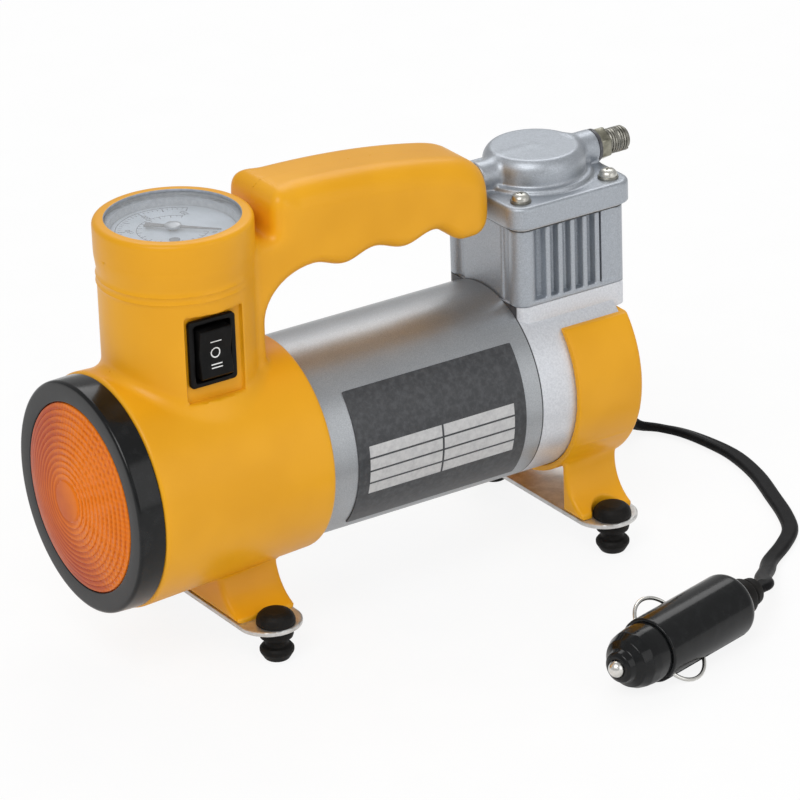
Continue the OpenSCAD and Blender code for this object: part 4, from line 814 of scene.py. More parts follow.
def housingOuter(x, y, z):
    s = shell
    barrel = cutSoft(np.hypot(x, z) - barrelRadius(s, y), between(y, s["yFront"], s["yRear"]), s["edge"])
    lines = sum(np.exp(-((z - h) / 0.42) ** 2) for h in s["ridges"])
    fade = 0.5 - 0.5 * np.tanh((y - s["yTower"] - 11) / 3)
    swell = s["towerFlare"] * smoothStep((z - 64.5) / 6.5) + s["ridgeHigh"] * fade * lines
    tower = cutSoft(np.hypot(x, y - s["yTower"]) - s["towerRadius"] - swell, z - s["towerTop"], 0.04)
    # The edges of the handle are tighter at the nose and on the web to the tower
    edge = s["noseEdge"] + (s["handleRound"] - s["noseEdge"]) * smoothStep((y - s["yNose"]) / 10)
    grip = cutSoft(cutSoft(overForm(y, z), np.abs(x) - s["handleHalf"], edge), underForm(y, z),
                   s["underRound"])
    body = joinSoft(barrel, np.maximum(tower, -z), s["towerFillet"])
    body = joinSoft(body, np.maximum(np.maximum(grip, s["yTower"] - y), 25 - z), 2.0)
    foot = np.maximum(np.abs(x) - leg["tip"], between(z, leg["floor"], leg["top"]))
    return joinSoft(body, legForm(foot, x, y, z, leg), 0.6)


def housingShell(x, y, z):
    s = shell
    outer = housingOuter(x, y, z)
    bore = np.hypot(x, z) - barrelRadius(s, y) + s["wall"]
    well = np.maximum(np.hypot(x, y - s["yTower"]) - s["towerRadius"] + s["wall"], s["wellFloor"] - z)
    return without(outer, outer + s["wall"], bore, well), outer


def housingRight(x, y, z):
    s = shell
    d, outer = housingShell(x, y, z)
    for part in (s["plate"], s["floor"]):
        d = np.minimum(d, np.maximum(blockForm(x, y, z, *part), outer))
    return without(cutSoft(d, -blockForm(x, y, z, *s["pocket"]), 0.35), blockForm(x, y, z, *s["hole"]))


def housingLeft(x, y, z):
    s = shell
    d, outer = housingShell(x, y, z)
    for by, bz in s["bosses"]:
        away = np.hypot(y - by, z - bz) - s["headHole"]
        d = np.minimum(d, np.maximum(away - s["bossWall"], outer))
        d = cutSoft(d, -np.maximum(away, x - s["headSeat"]), 0.3)
    return d


def halfOf(whole, sign):
    return lambda x, y, z: np.maximum(whole(x, y, z), shell["seam"] - sign * x)


towerRim = ((0, shell["yTower"]), shell["towerRadius"] + 0.6, shell["towerTop"])
halves = [("housingRight", housingRight, 1, (-0.6, -136.1, -42.6), (37.2, -1.4, 86), "housing_right"),
          ("housingLeft", housingLeft, -1, (-37.2, -136.1, -42.6), (0.6, -1.4, 86), "housing_left")]
for pieceName, whole, sign, low, high, node in halves:
    piece = meshForm(pieceName, halfOf(whole, sign), low, high, shell["grid"], "housing", 45,
                     cut=(whole, sign * shell["seam"]), rim=towerRim)
    standIn(piece, "yellow", node)
print("housing moulded")


cover = {
    "outer": 33.05, "inner": 31.15, "y0": 12.4, "y1": 36.3, "yWall": 34.3, "edgeZ": 21.0,
    "gland": (7.0, -13.0, 3.6), "screws": (-20, 200, 270), "screwRing": 28.7, "screwHole": 1.45, "seatY": 30,
    "roomY": 20, "room": 15.5, "roomLow": 16.2}
coverLeg = {"inside": 20.2, "tip": 30.5, "top": -17.0, "floor": -41.5, "y0": 14.0, "y1": 33.0, "flareX": 35.3,
            "flareZ": -27.6, "flare": 13.0, "sideEdge": 0.6, "endEdge": 1.2, "footX": 32.5, "footY": 24.0,
            "notch": 6.3}
coverSpots = [(cover["screwRing"] * math.cos(a), cover["screwRing"] * math.sin(a))
              for a in np.radians(cover["screws"])]


def coverForm(x, y, z):
    c, g = cover, coverLeg
    rho = np.hypot(x, z)
    drum = cutSoft(cutSoft(rho - c["outer"], c["y0"] - y, 0.45), y - c["y1"], 1.7)
    drum = cutSoft(drum, -np.maximum(rho - c["inner"], y - c["yWall"]), 0.25)
    drum = cutSoft(drum, z - c["edgeZ"], 0.45)
    legs = blockForm(np.abs(x), y, z, (g["inside"], -99, g["floor"]), (g["tip"], 99, g["top"]))
    legs = np.maximum(legForm(legs, x, y, z, g), c["inner"] + 0.4 - rho)
    gx, gz, gr = c["gland"]
    holes = [np.hypot(x - gx, z - gz) - gr]
    holes += [np.hypot(x - sx, z - sz) - c["screwHole"] for sx, sz in coverSpots]
    # The cylinder block stands in the room
    room = np.maximum(np.hypot(x, y - c["roomY"]) - c["room"], c["roomLow"] - z)
    return without(joinSoft(drum, legs, 1.0), room, *(np.maximum(h, c["seatY"] - y) for h in holes))


coverPiece = meshForm("rearCover", coverForm, (-34, 11.5, -42.5), (34, 37.2, 22), 0.62, "housing")
standIn(coverPiece, "yellow", "rear_cover")


# The cylinder block is a finned core with a sleeve below, four pillars and plates down its sides
block = {
    "width": 40.0, "low": 29.0, "top": 53.6, "core": 17.2, "pillar": 4.0, "bolt": 16.0, "boltHole": 1.7,
    "yMid": 20.0, "sleeve": 17.0, "sleeveLow": 24.0, "sleeveTop": 56.0, "bore": 15.0,
    "fins": (11.0, 15.5, 20.0, 24.5, 29.0), "finHalf": 0.9, "rearPlate": ((-19.6, 10.6, 0), (19.6, 16.0, 99)),
    "frontPlate": ((-11.0, -19.5, 0), (10.4, 0, 99)), "skirt": ((-20.0, -16.0, 0), (20.0, 16.0, 30.6))}
head = {
    "half": 22.0, "corner": 6.0, "low": 55.0, "top": 62.0, "cap": 15.7, "capTop": 71.6, "capEdge": 5.0,
    "capRise": 0.7, "step": 17.7, "stepTop": 63.5, "rise": 57, "port": 66.0, "frontBoss": 4.7,
    "rearBoss": 5.3, "yBoss": 32.7, "yFront": -1.6, "yRear": 41.0, "cavity": 11.7, "cavityTop": 68,
    "rearBore": (3.4, 35), "rearSeat": (5.5, 41.0), "frontBore": (1.5, 6)}


def pillarsForm(x, v, radius):
    return np.hypot(np.abs(x) - block["bolt"], np.abs(v) - block["bolt"]) - radius


def castBlock(x, y, z):
    b = block
    h, v = b["width"] / 2, y - b["yMid"]
    rho = np.hypot(x, v)
    d = blockForm(x, v, z, (-b["core"], 1.2 - h, 0), (b["core"], h - 1.2, 99), 0.6)
    for f in b["fins"]:
        d = joinSoft(d, blockForm(x, y, z, (-h, f - b["finHalf"], 0), (h, f + b["finHalf"], 99), 0.55), 0.45)
    d = joinSoft(d, pillarsForm(x, v, b["pillar"]), 0.7)
    for key, soft, fillet in (("rearPlate", 0.3, 0.4), ("frontPlate", 0.6, 0.5), ("skirt", 0.4, 0.3)):
        d = joinSoft(d, blockForm(x, v, z, *b[key], soft), fillet)
    d = cutSoft(d, between(z, b["low"], b["top"]), 0.35)
    d = np.minimum(d, np.maximum(rho - b["sleeve"], between(z, b["sleeveLow"], b["sleeveTop"])))
    return without(np.maximum(d, z - b["top"]), rho - b["bore"], pillarsForm(x, v, b["boltHole"]))


def headForm(x, y, z):
    h = head
    v = y - block["yMid"]
    rho, across = np.hypot(x, v), np.hypot(x, z - h["port"])
    plate = cutSoft(squareForm(x, v, h["half"], h["half"], h["corner"]), z - h["top"], 1.3)
    plate = cutSoft(plate, h["low"] - z, 0.35)
    step = cutSoft(np.maximum(rho - h["step"], h["rise"] - z), z - h["stepTop"], 0.9)
    cap = cutSoft(np.maximum(rho - h["cap"], h["rise"] - z), z - h["capTop"] - h["capRise"], h["capEdge"])
    cap = cutSoft(cap, z - h["capTop"], 0.25)
    front = cutSoft(np.maximum(across - h["frontBoss"], v), h["yFront"] - y, 0.7)
    rear = cutSoft(np.maximum(across - h["rearBoss"], h["yBoss"] - y), y - h["yRear"], 0.5)
    d = joinSoft(joinSoft(joinSoft(joinSoft(plate, step, 0.8), cap, 0.9), front, 1.5), rear, 1.5)
    ports = [np.maximum(across - r, deep - y) for r, deep in (h["rearBore"], h["rearSeat"])]
    ports.append(np.maximum(across - h["frontBore"][0], y - h["frontBore"][1]))
    bolts = np.maximum(pillarsForm(x, v, block["boltHole"]), z - h["top"] - 3)
    return without(d, np.maximum(rho - h["cavity"], z - h["cavityTop"]), bolts, *ports)


blockPiece = meshForm("cylinderBlock", castBlock, (-20.8, -0.8, 23.2), (20.8, 40.8, 54.4), 0.42, "housing")
standIn(blockPiece, "cast", "cylinder_block")
headPiece = meshForm("cylinderHead", headForm, (-22.8, -2.8, 54.2), (22.8, 42.8, 72.6), 0.45, "housing")
standIn(headPiece, "cast", "cylinder_head")
print("castings made")


# Repeated details grow from Geometry Nodes trees, each run once
def startTree(name, inputs):
    tree = bpy.data.node_groups.new(name, "GeometryNodeTree")
    tree.interface.new_socket("Geometry", in_out="OUTPUT", socket_type="NodeSocketGeometry")
    ids = {}
    for key, (kind, value) in inputs.items():
        s = tree.interface.new_socket(key, in_out="INPUT", socket_type="NodeSocket" + kind)
        if value is not None:
            s.default_value = value
        ids[key] = s.identifier
    source = tree.nodes.new("NodeGroupInput")
    return tree, ids, {key: Wire(tree, source.outputs[key]) for key in inputs}


def endTree(tree, shape, coat):
    # Makes the result plain and gives it its material
    real = shape.node("GeometryNodeRealizeInstances", {0: shape})
    done = real.node("GeometryNodeSetMaterial", {"Geometry": real, "Material": coat})
    tree.links.new(done.socket, tree.nodes.new("NodeGroupOutput").inputs[0])


def growPiece(name, tree, ids, values, body, smooth=30):
    # Runs a tree and keeps its plain mesh
    obj = addObject(name, bpy.data.meshes.new(name))
    mod = obj.modifiers.new("grow", "NODES")
    mod.node_group = tree
    for key, value in values.items():
        mod[ids[key]] = value
    bakeModifiers(obj)
    movePoints(obj.data, toRow)
    if smooth:
        shadeBy(obj, smooth)
    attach(obj, body)
    return obj


def scatterTree():
    # Puts a copy of a part on each point, turned by the point's own turn
    tree, ids, w = startTree("scatterParts", {
        "Points": ("Object", None), "Part": ("Object", None), "Finish": ("Material", None)})
    spots, part = (w[key].node("GeometryNodeObjectInfo", {"Object": w[key]}, out=4)
                   for key in ("Points", "Part"))
    turn = spots.node("GeometryNodeInputNamedAttribute", {"Name": "turn"}, data_type="FLOAT_VECTOR")
    spun = turn.node("FunctionNodeEulerToRotation", {0: turn})
    endTree(tree, spots.node("GeometryNodeInstanceOnPoints", {
        "Points": spots, "Instance": part, "Rotation": spun}), w["Finish"])
    return tree, ids


def screwPart(name, shank, shankLen, headR, headH, washerR=0.0, washerT=0.0):
    # Pan screw along +z with a cross recess, head above z = 0
    steps = 40
    pts, faces = turned([(0, headH), (headR * 0.35, headH * 0.98), (headR * 0.68, headH * 0.86),
                         (headR * 0.9, headH * 0.58), (headR, headH * 0.3), (headR, 0), (shank, 0),
                         (shank, -shankLen), (0, -shankLen)], steps)
    if washerR:
        ring = turned([(shank, 0), (washerR - 0.25, 0), (washerR, -0.25), (washerR, -washerT),
                       (shank, -washerT)], steps)
        faces += [[len(pts) + i for i in f] for f in ring[1]]
        pts += ring[0]
    obj = meshObject(name, pts, faces)
    tidyNormals(obj, 1e-5)
    bm = bmesh.new()
    for turn in (0, math.pi / 2):
        made = bmesh.ops.create_cube(bm, size=1)["verts"]
        bmesh.ops.scale(bm, vec=(headR * 1.15, headR * 0.24, headH * 1.1), verts=made)
        for v in made:
            if v.co.z < 0:
                v.co.x *= 0.45
                v.co.y *= 0.7
        bmesh.ops.rotate(bm, matrix=Matrix.Rotation(turn, 3, "Z"), verts=made)
        bmesh.ops.translate(bm, vec=(0, 0, headH), verts=made)
    cross = meshObject(name + "Cross", [], [])
    bm.to_mesh(cross.data)
    bm.free()
    mod = obj.modifiers.new("cut", "BOOLEAN")
    mod.operation = "DIFFERENCE"
    mod.solver = "EXACT"
    mod.use_self = True
    mod.object = cross
    bakeModifiers(obj)
    bpy.data.objects.remove(cross)
    return obj


scatter = scatterTree()


def scatterScrews(name, part, spots, key, node):
    # spots are (place in millimetres, turn in degrees about x, y and z)
    points = meshObject(name + "Spots", [s[0] for s in spots], [])
    turn = points.data.attributes.new("turn", "FLOAT_VECTOR", "POINT")
    turn.data.foreach_set("vector", np.radians([s[1] for s in spots]).ravel())
    obj = growPiece(name, *scatter, {"Points": points, "Part": part, "Finish": finish[key]}, "housing")
    bpy.data.objects.remove(points)
    bpy.data.objects.remove(part)
    return standIn(obj, key, node)


# Shank radius and length, head radius and height, then the washer's radius and thickness
screws = {"head": (1.5, 32.0, 2.78, 2.1, 3.2, 0.8), "case": (1.25, 12.0, 3.0, 2.2),
          "cover": (1.05, 7.5, 2.5, 1.8), "strap": (1.2, 6.0, 2.8, 1.8), "headSeat": 62.8}
headSpots = [((i * block["bolt"], block["yMid"] + j * block["bolt"], screws["headSeat"]),
              (0, 0, 17 + 40 * i - 25 * j))
             for i in (-1, 1) for j in (-1, 1)]
headScrews = scatterScrews("headScrews", screwPart("panHead", *screws["head"]), headSpots, "zinc",
                           "head_screws")
# The washers under the heads are darker
headScrews.data.materials.append(finish["threadSteel"])
for face in headScrews.data.polygons:
    face.material_index = int(face.center.z * 1000 - place["axisHeight"] < screws["headSeat"] + 0.02)
caseSpots = [((shell["headSeat"], by, bz), (0, -90, 0)) for by, bz in shell["bosses"]]
scatterScrews("housingScrews", screwPart("panCase", *screws["case"]), caseSpots, "steel",
              "housing_screws")
scatterScrews("coverScrews", screwPart("panCover", *screws["cover"]),
              [((x, cover["y1"], z), (-90, 0, 0)) for x, z in coverSpots], "steel", "cover_screws")
print("screws set")


# A ridge of the lens is a row of (share of its width, share at which the crown is read, rise)
lamp = {"face": -143.3, "radius": 35.5, "depth": 8.3, "spigot": 33.65, "flange": 31.4, "open": 28.8,
        "bulge": 4.5, "rings": 12, "disc": 6.6,
        "ridge": ((0, 0, 0.28), (0.18, 0, 0.20), (0.5, 0.5, 0.1), (0.86, 0.86, 0), (0.95, 1, 0.08))}


def makeBezel(p):
    r, ri, deep, flange = p["radius"], p["open"] + 0.2, p["depth"], p["flange"] + 0.2
    out = softPath([(ri, 0), (r - 0.2, 0), (r, deep), (p["spigot"], deep), (p["spigot"], deep + 4),
                    (flange, deep + 4), (flange, 1.6), (ri, 1.6)],
                   [0.5, 1.3, 0.5, 0.1, 0.3, 0.2, 0.1, 0.2], 6)
    return lathe("lampBezel", out, "housing", at=(0, p["face"], 0), steps=160, smooth=32)


def makeLens(p):
    # Stepped prism rings on a low crown, with a plain disc in the middle
    def crown(r):
        return -p["bulge"] * (1 - (r / p["open"]) ** 2)
    step = (p["open"] - p["disc"]) / p["rings"]
    out = [(0, -p["bulge"]), (p["disc"] * 0.6, crown(p["disc"]) - 0.28),
           (p["disc"] - 0.5, crown(p["disc"]) - 0.12)]
    for k in range(p["rings"]):
        r = p["disc"] + k * step
        out += [(r + share * step, crown(r + read * step) + rise) for share, read, rise in p["ridge"]]
    out += [(p["open"], 0.6), (p["open"], 1.6), (p["flange"], 1.6), (p["flange"], 3.2), (p["open"] - 1, 3.2),
            (0, 3.2 - p["bulge"])]
    return lathe("lampLens", out, "housing", at=(0, p["face"], 0), steps=160, smooth=28)


standIn(makeBezel(lamp), "blackGloss", "lamp_bezel")
standIn(makeLens(lamp), "amber", "lamp_lens")
print("lamp made")


gauge = {
    "y": -107.0, "ringLow": 71.5, "ringHigh": 8.9, "ring": 23.7, "glass": 20.6, "lip": 20.0, "dial": 18.4,
    "dialTop": 75.8, "rest": 43.8, "sweep": 270.0, "ticks": 51, "major": 5, "tickR": 16.2, "innerTicks": 29,
    "innerMajor": 2, "innerR": 10.6, "arcs": ((16.9, 0.12), (10.7, 0.1)), "wordR": 12.6, "wordSize": 2.3,
    "perWord": 25, "rivet": (7.2, -3.8), "needleZ": 76.6, "needle": 14.6, "hub": 2.5}


def makeRing(p):
    h, ri = p["ringHigh"], p["glass"] + 0.3
    out = softPath([(ri, 0), (p["ring"] - 0.06, 0), (p["ring"], h - 0.2), (p["lip"] + 0.1, h),
                    (p["lip"], h - 0.8), (ri, h - 0.8)], [0.1, 0.02, 2.6, 0.5, 0.1, 0.1], 8)
    ring = lathe("gaugeRing", out, "housing", axis="z", at=(0, p["y"], p["ringLow"]), steps=144)
    standIn(ring, "yellow", "gauge_ring")
    # The step that holds the glass is grey
    ring.data.materials.append(finish["case"])
    for face in ring.data.polygons:
        away = math.hypot(face.center.x * 1000, face.center.y * 1000 - p["y"] - place["yShift"])
        face.material_index = int(away < p["glass"] + 0.35 and face.normal.z < 0.9)


makeRing(gauge)


def tickTree():
    # Marks round an arc, every few of them longer
    tree, ids, w = startTree("dialTicks", {
        "Count": ("Int", 51), "Every": ("Int", 5), "Radius": ("Float", 15.6), "Start": ("Float", 0.0),
        "Sweep": ("Float", 4.7), "Height": ("Float", 75.8), "Short": ("Float", 1.1), "Width": ("Float", 0.16),
        "Finish": ("Material", None)})
    line = w["Count"].node("GeometryNodeMeshLine", {"Count": w["Count"]})
    step = w["Count"].node("GeometryNodeInputIndex")
    angle = w["Start"] - w["Sweep"] * (step / (w["Count"] - 1))
    spot = angle.node("ShaderNodeCombineXYZ", {
        0: w["Radius"] * angle.cosine(), 1: w["Radius"] * angle.sine(), 2: w["Height"]})
    placed = line.node("GeometryNodeSetPosition", {"Geometry": line, "Position": spot})
    bar = line.node("GeometryNodeMeshCube", {"Size": (1.0, 1.0, 0.04)})
    bar = bar.node("GeometryNodeTransform", {"Geometry": bar, "Translation": (-0.5, 0, 0)})
    long = step.calc("FLOORED_MODULO", w["Every"]).under(0.5)
    size = angle.node("ShaderNodeCombineXYZ", {
        0: w["Short"] * (long * 1.1 + 1.0), 1: w["Width"] * (long * 0.8 + 1.0), 2: 1.0})
    spin = angle.node("ShaderNodeCombineXYZ", {2: angle})
    turn = spin.node("FunctionNodeEulerToRotation", {0: spin})
    endTree(tree, placed.node("GeometryNodeInstanceOnPoints", {
        "Points": placed, "Instance": bar, "Rotation": turn, "Scale": size}), w["Finish"])
    return tree, ids


def flatWord(text, size, at, turn):
    # A short word or number as a thin plain mesh
    curve = bpy.data.curves.new("word", "FONT")
    curve.body = text
    curve.size = size
    curve.align_x = "CENTER"
    curve.align_y = "CENTER"
    curve.extrude = 0.02
    curve.resolution_u = 3
    temp = addObject("word", curve)
    mesh = bpy.data.meshes.new_from_object(temp.evaluated_get(bpy.context.evaluated_depsgraph_get()))
    bpy.data.objects.remove(temp)
    mesh.transform(Matrix.Translation(at) @ Matrix.Rotation(turn, 4, "Z"))
    movePoints(mesh, toRow)
    return addObject("word", mesh)


def makeDialPrint(p):
    # Two rows of marks, two arcs, the numbers and a flat rivet head, made round z and then moved
    tick = tickTree()
    start, sweep, top = math.radians(p["rest"]), math.radians(p["sweep"]), p["dialTop"] + 0.03
    shared = {"Start": start, "Sweep": sweep, "Height": top, "Finish": finish["ink"]}
    marks = growPiece("dialPrint", *tick, {
        "Count": p["ticks"], "Every": p["major"], "Radius": p["tickR"], **shared}, "housing", None)
    extra = [growPiece("dialPrintInner", *tick, {
        "Count": p["innerTicks"], "Every": p["innerMajor"], "Radius": p["innerR"], "Short": 0.7, **shared},
        "housing", None)]
    for k in range(0, 11, 2):
        a = start - sweep * k / 10
        at = (p["wordR"] * math.cos(a), p["wordR"] * math.sin(a), top)
        extra.append(flatWord(str(p["perWord"] * k), p["wordSize"], at, math.pi))
    for r, wide in p["arcs"]:
        section = ((-wide, -0.02), (wide, -0.02), (wide, 0.02), (-wide, 0.02))
        pts = [((r + u) * math.cos(a), (r + u) * math.sin(a), top + v)
               for a in start - sweep * np.arange(121) / 120 for u, v in section]
        extra.append(meshObject("arc", toRow(pts), tubeFaces(121, 4)))
    extra.append(lathe("rivet", [(0, 0), (1.6, 0), (1.6, 0.2), (1.1, 0.32), (0, 0.32)], "housing", axis="z",
                       at=(*p["rivet"], top - 0.02), steps=32, smooth=None))
    joinPieces(marks, *extra)
    movePoints(marks.data, lambda pts: pts + (0, p["y"] / 1000, 0))
    return marks


standIn(makeDialPrint(gauge), "ink")
dialPlate = softPath([(1.3, -0.5), (gauge["dial"], -0.5), (gauge["dial"], 0), (1.3, 0)], 0.08, 2)
standIn(lathe("gaugeDial", dialPlate, "housing", axis="z", at=(0, gauge["y"], gauge["dialTop"]), steps=120),
        "dial", "gauge_dial")


def makeNeedle(p):
    # Tapered pointer with a counterweight tail and a domed hub
    edge = [(-8.6, 1.3), (-7.6, 1.5), (-6.4, 1.1), (-2, 0.75), (0, 0.8), (p["needle"] - 1, 0.25),
            (p["needle"], 0.08)]
    a, at = math.radians(p["rest"]), (0, p["y"], p["needleZ"])
    outline = [(x * math.cos(a) - y * math.sin(a), x * math.sin(a) + y * math.cos(a))
               for x, y in [(x, -y) for x, y in edge] + edge[::-1]]
    blade = prism("gaugeNeedle", outline, 0, 0.42, "z", "needle", 0.08, at)
    hub = softPath([(0, -12), (0.77, -12), (0.77, 0.1), (p["hub"], 0.1), (p["hub"], 0.9), (0.9, 1.35),
                    (0, 1.4)],
                   [0, 0, 0, 0.1, 0.5, 0.4, 0], 5)
    return blade, lathe("needleHub", hub, "needle", axis="z", at=at, steps=48)


needleBlade, needleHub = makeNeedle(gauge)
standIn(needleBlade, "needle", "gauge_needle")
standIn(needleHub, "hub")
print("gauge made")


switch = {
    "x": 17.2, "y": -108.0, "z": 45.0, "flat": 19.6, "frameT": 1.8, "w": 15.8, "h": 21.0, "holeW": 12.4,
    "holeH": 18.0, "floor": 11.4, "bodyW": 14.0, "bodyH": 19.6, "back": 3.6, "pivot": (1.25, 6.95),
    "rockerW": 10.7, "rockerH": 7.5, "faceMid": 5.2, "faceEnd": 6.45,
    "strokes": ((3.5, 3.82), (-3.62, -3.3), (-4.62, -4.3)), "strokeHalf": 1.85, "ring": (1.62, 1.26),
    "markDeep": 0.12}


def switchForm(x, y, z):
    s = switch
    u, v = y - s["y"], z - s["z"]
    frameOut = squareForm(u, v, s["w"] / 2, s["h"] / 2, 1.4)
    frame = cutSoft(frameOut, between(x, s["flat"], s["flat"] + s["frameT"]), 0.55)
    body = blockForm(x, u, v, (s["back"], -s["bodyW"] / 2, -s["bodyH"] / 2),
                     (s["flat"] + 0.4, s["bodyW"] / 2, s["bodyH"] / 2), 0.3)
    hole = squareForm(u, v, s["holeW"] / 2, s["holeH"] / 2, 0.8)
    d = cutSoft(np.minimum(frame, body), -np.maximum(hole, s["floor"] - x), 0.3)
    return without(d, np.maximum(np.hypot(x - s["x"], v) - s["pivot"][0], np.abs(u) - s["pivot"][1]))


standIn(meshForm("switchBody", switchForm, (3.0, -116.5, 34.0), (22.0, -99.5, 56.0), 0.33, "housing"),
        "blackSatin", "switch_body")


def makeRocker(s):
    h, w = s["rockerH"], s["rockerW"] / 2
    side = [(-4, -3), (0, -h), (s["faceEnd"] - 0.4, -h), (s["faceEnd"], 0.6 - h), (s["faceMid"], 0),
            (s["faceEnd"], h - 0.6), (s["faceEnd"] - 0.4, h), (0, h), (-4, 3)]
    side = softPath(side, [0.3, 0.5, 0.3, 0.3, 3.2, 0.3, 0.3, 0.5, 0.3], 5)
    return prism("switchRocker", side, -w, w, "y", "rocker", 0.4, (s["x"], s["y"], s["z"]))


def makeMarks(s):
    # One stroke, a ring and two strokes for the three places of the switch, laid on its sloping faces
    slope = (s["faceEnd"] - s["faceMid"]) / (s["rockerH"] - 0.6)
    pts, faces = [], []

    def lay(rows, made):
        faces.extend([len(pts) + i for i in f] for f in made)
        pts.extend((s["x"] + s["faceMid"] + slope * max(abs(v), 0.55) + 0.03 - deep, s["y"] + u, s["z"] + v)
                   for row, deep in rows for u, v in row)

    h, deep = s["strokeHalf"], s["markDeep"]
    for v0, v1 in s["strokes"]:
        row = ((-h, v0), (h, v0), (h, v1), (-h, v1))
        lay(((row, 0), (row, deep)), tubeFaces(2, 4))
    around = [(math.cos(a), math.sin(a)) for a in np.arange(40) * math.pi / 20]
    wide, thin = ([(r * u, r * v) for u, v in around] for r in s["ring"])
    loops = gridFaces(np.arange(160).reshape(4, 40), True, True)
    lay(((wide, 0), (thin, 0), (thin, deep), (wide, deep)), loops)
    return makeMesh("switchMarks", pts, faces, "rocker", 30)


standIn(makeRocker(switch), "blackSatin", "switch_rocker")
standIn(makeMarks(switch), "mark")
print("switch made")


label = {"inner": 31.05, "outer": 31.35, "y0": -66.0, "y1": -6.0, "up": 42.5, "down": -44.0, "corner": 0.5,
         "tableY": (-62.0, -10.3), "tableUp": 10.0, "tableDown": -20.5, "rows": 4, "divider": -36.0}


def makeLabel(p):
    # Thin sheet wrapped on the can, with its corners rounded
    half = math.radians((p["up"] - p["down"]) / 2) * p["outer"]
    mid = math.radians((p["up"] + p["down"]) / 2)
    c = p["corner"]
    near = [c * (1 - math.cos(a)) for a in np.linspace(0, math.pi / 2, 7)]
    ys = [p["y0"] + d for d in near] + list(np.linspace(p["y0"] + c, p["y1"] - c, 13)[1:-1])
    ys += [p["y1"] - d for d in near[::-1]]
    across = 1 - 2 * np.arange(49) / 48
    pts = []
    for r in (p["outer"], p["inner"]):
        for y in ys:
            edge = min(y - p["y0"], p["y1"] - y)
            inset = c - math.sqrt(max(0, c * c - max(0, c - edge) ** 2))
            pts += [(r * math.cos(a), y, r * math.sin(a)) for a in mid + (half - inset) * across / p["outer"]]
    index = np.arange(len(pts)).reshape(2, len(ys), len(across))
    faces = gridFaces(index[0]) + gridFaces(index[1, ::-1])
    for rim in (index[:, 0], index[:, -1], index[:, :, 0], index[:, :, -1]):
        faces += gridFaces(rim)
    return makeMesh("motorLabel", pts, faces, "housing", 30)


def labelFinish(p):
    # Printed sheet: dark ground with a pale blank table in ruled cells
    f = Finish("labelSheet", IOR=1.45, Specular_IOR_Level=0.4, Coat_Weight=0.1, Coat_Roughness=0.12)
    x, y, z = f.where.parts()
    around = z.calc("ARCTAN2", x) * (180 / math.pi)
    down = around - p["tableDown"]
    rowStep = (p["tableUp"] - p["tableDown"]) / p["rows"]
    shown = y.over(p["tableY"][0]) * y.under(p["tableY"][1]) * around.under(p["tableUp"]) * down.over(0.0)
    shown = shown * down.calc("PINGPONG", rowStep / 2).over(0.55) * (y - p["divider"]).size().over(0.35)
    wear = f.noise(0.5, 4.0, 0.7)
    ground = wear.ramp(0.35, 0.75).mix((0.040, 0.042, 0.046), (0.075, 0.078, 0.084))
    f.tone(shown, ground, wear.ramp(0.3, 0.8).mix((0.60, 0.60, 0.60), (0.46, 0.46, 0.47)))
    f.set("Roughness", 0.34 + 0.12 * wear)
    f.bump(wear, 0.08)
    return f.mat


finish["label"] = labelFinish(label)
standIn(makeLabel(label), "label", "motor_label")
print("label made")


# The spots are y of the strap and distance of its screws from the middle
base = {"top": -41.5, "thick": 1.5, "len": 77.4, "width": 20.0, "neck": 6.0, "foot": 11.8, "sole": 10.4,
        "footX": 32.5, "spots": ((-97.8, 14.0), (24.0, 23.0)), "screwHole": 3.4, "floor": -53.0}


def strapForm(y0, screwX):
    b = base

    def form(x, y, z):
        ax, v = np.abs(x), y - y0
        away = np.hypot(np.maximum(ax - (b["len"] - b["width"]) / 2, 0), v) - b["width"] / 2
        d = cutSoft(away, between(z, b["top"] - b["thick"], b["top"]), 0.45)
        return without(d, np.hypot(ax - b["footX"], v) - b["neck"] / 2,
                       np.hypot(ax - screwX, v) - b["screwHole"] / 2)
    return form


for pieceName, (y, away), node in zip(("frontStrap", "rearStrap"), base["spots"],
                                      ("front_strap", "rear_strap")):
    strap = meshForm(pieceName, strapForm(y, away), (-39.6, y - 10.8, -43.6), (39.6, y + 10.8, -40.9), 0.42,
                     "housing", 35)
    standIn(strap, "strapSteel", node)


def makeFeet(b):
    # Dome above the strap, a neck through it and a round sole below
    s, n, t, r, low = b["sole"] / 2, b["neck"] / 2, b["thick"], b["foot"] / 2, b["floor"] - b["top"]
    out = [(0, low), (s - 1.6, low), (s, low + 2.6), (s, -t - 6.4), (s - 0.6, -t - 5.6), (n + 0.4, -t - 5.2),
           (n + 0.4, -t - 3.4), (s - 0.3, -t - 2.8), (s, -t - 2), (s, -t), (n, -t), (n, 0), (r, 0), (r, 1.4),
           (r - 0.5, 2.7), (r - 1.5, 3.7), (r - 2.8, 4.1), (0, 4.1)]
    out = softPath(out, [0, 1.2, 1.4, 0.3, 0.3, 0.6, 0.6, 0.4, 0.4, 0.2, 0.1, 0.1, 0.3, 1, 1.4, 1.4, 1.4, 0])
    feet = [lathe("rubberFeet", out, "housing", axis="z", at=(side * b["footX"], y, b["top"]), steps=72)
            for side in (-1, 1) for y, _ in b["spots"]]
    return joinPieces(*feet)


standIn(makeFeet(base), "rubber", "rubber_feet")
strapSpots = [((side * away, y, base["top"] - base["thick"]), (180, 0, 30))
              for side in (-1, 1) for y, away in base["spots"]]
scatterScrews("strapScrews", screwPart("panStrap", *screws["strap"]), strapSpots, "zinc",
              "strap_screws")
print("base made")


outlet = {"z": 66.0, "boss": 41.0, "nut": 42.0, "thread": 45.8, "tip": 53.4, "d": 8.0, "bore": 3.4, "af": 9.0,
          "spigot": 6.56, "pitch": 0.8, "deep": 0.42}


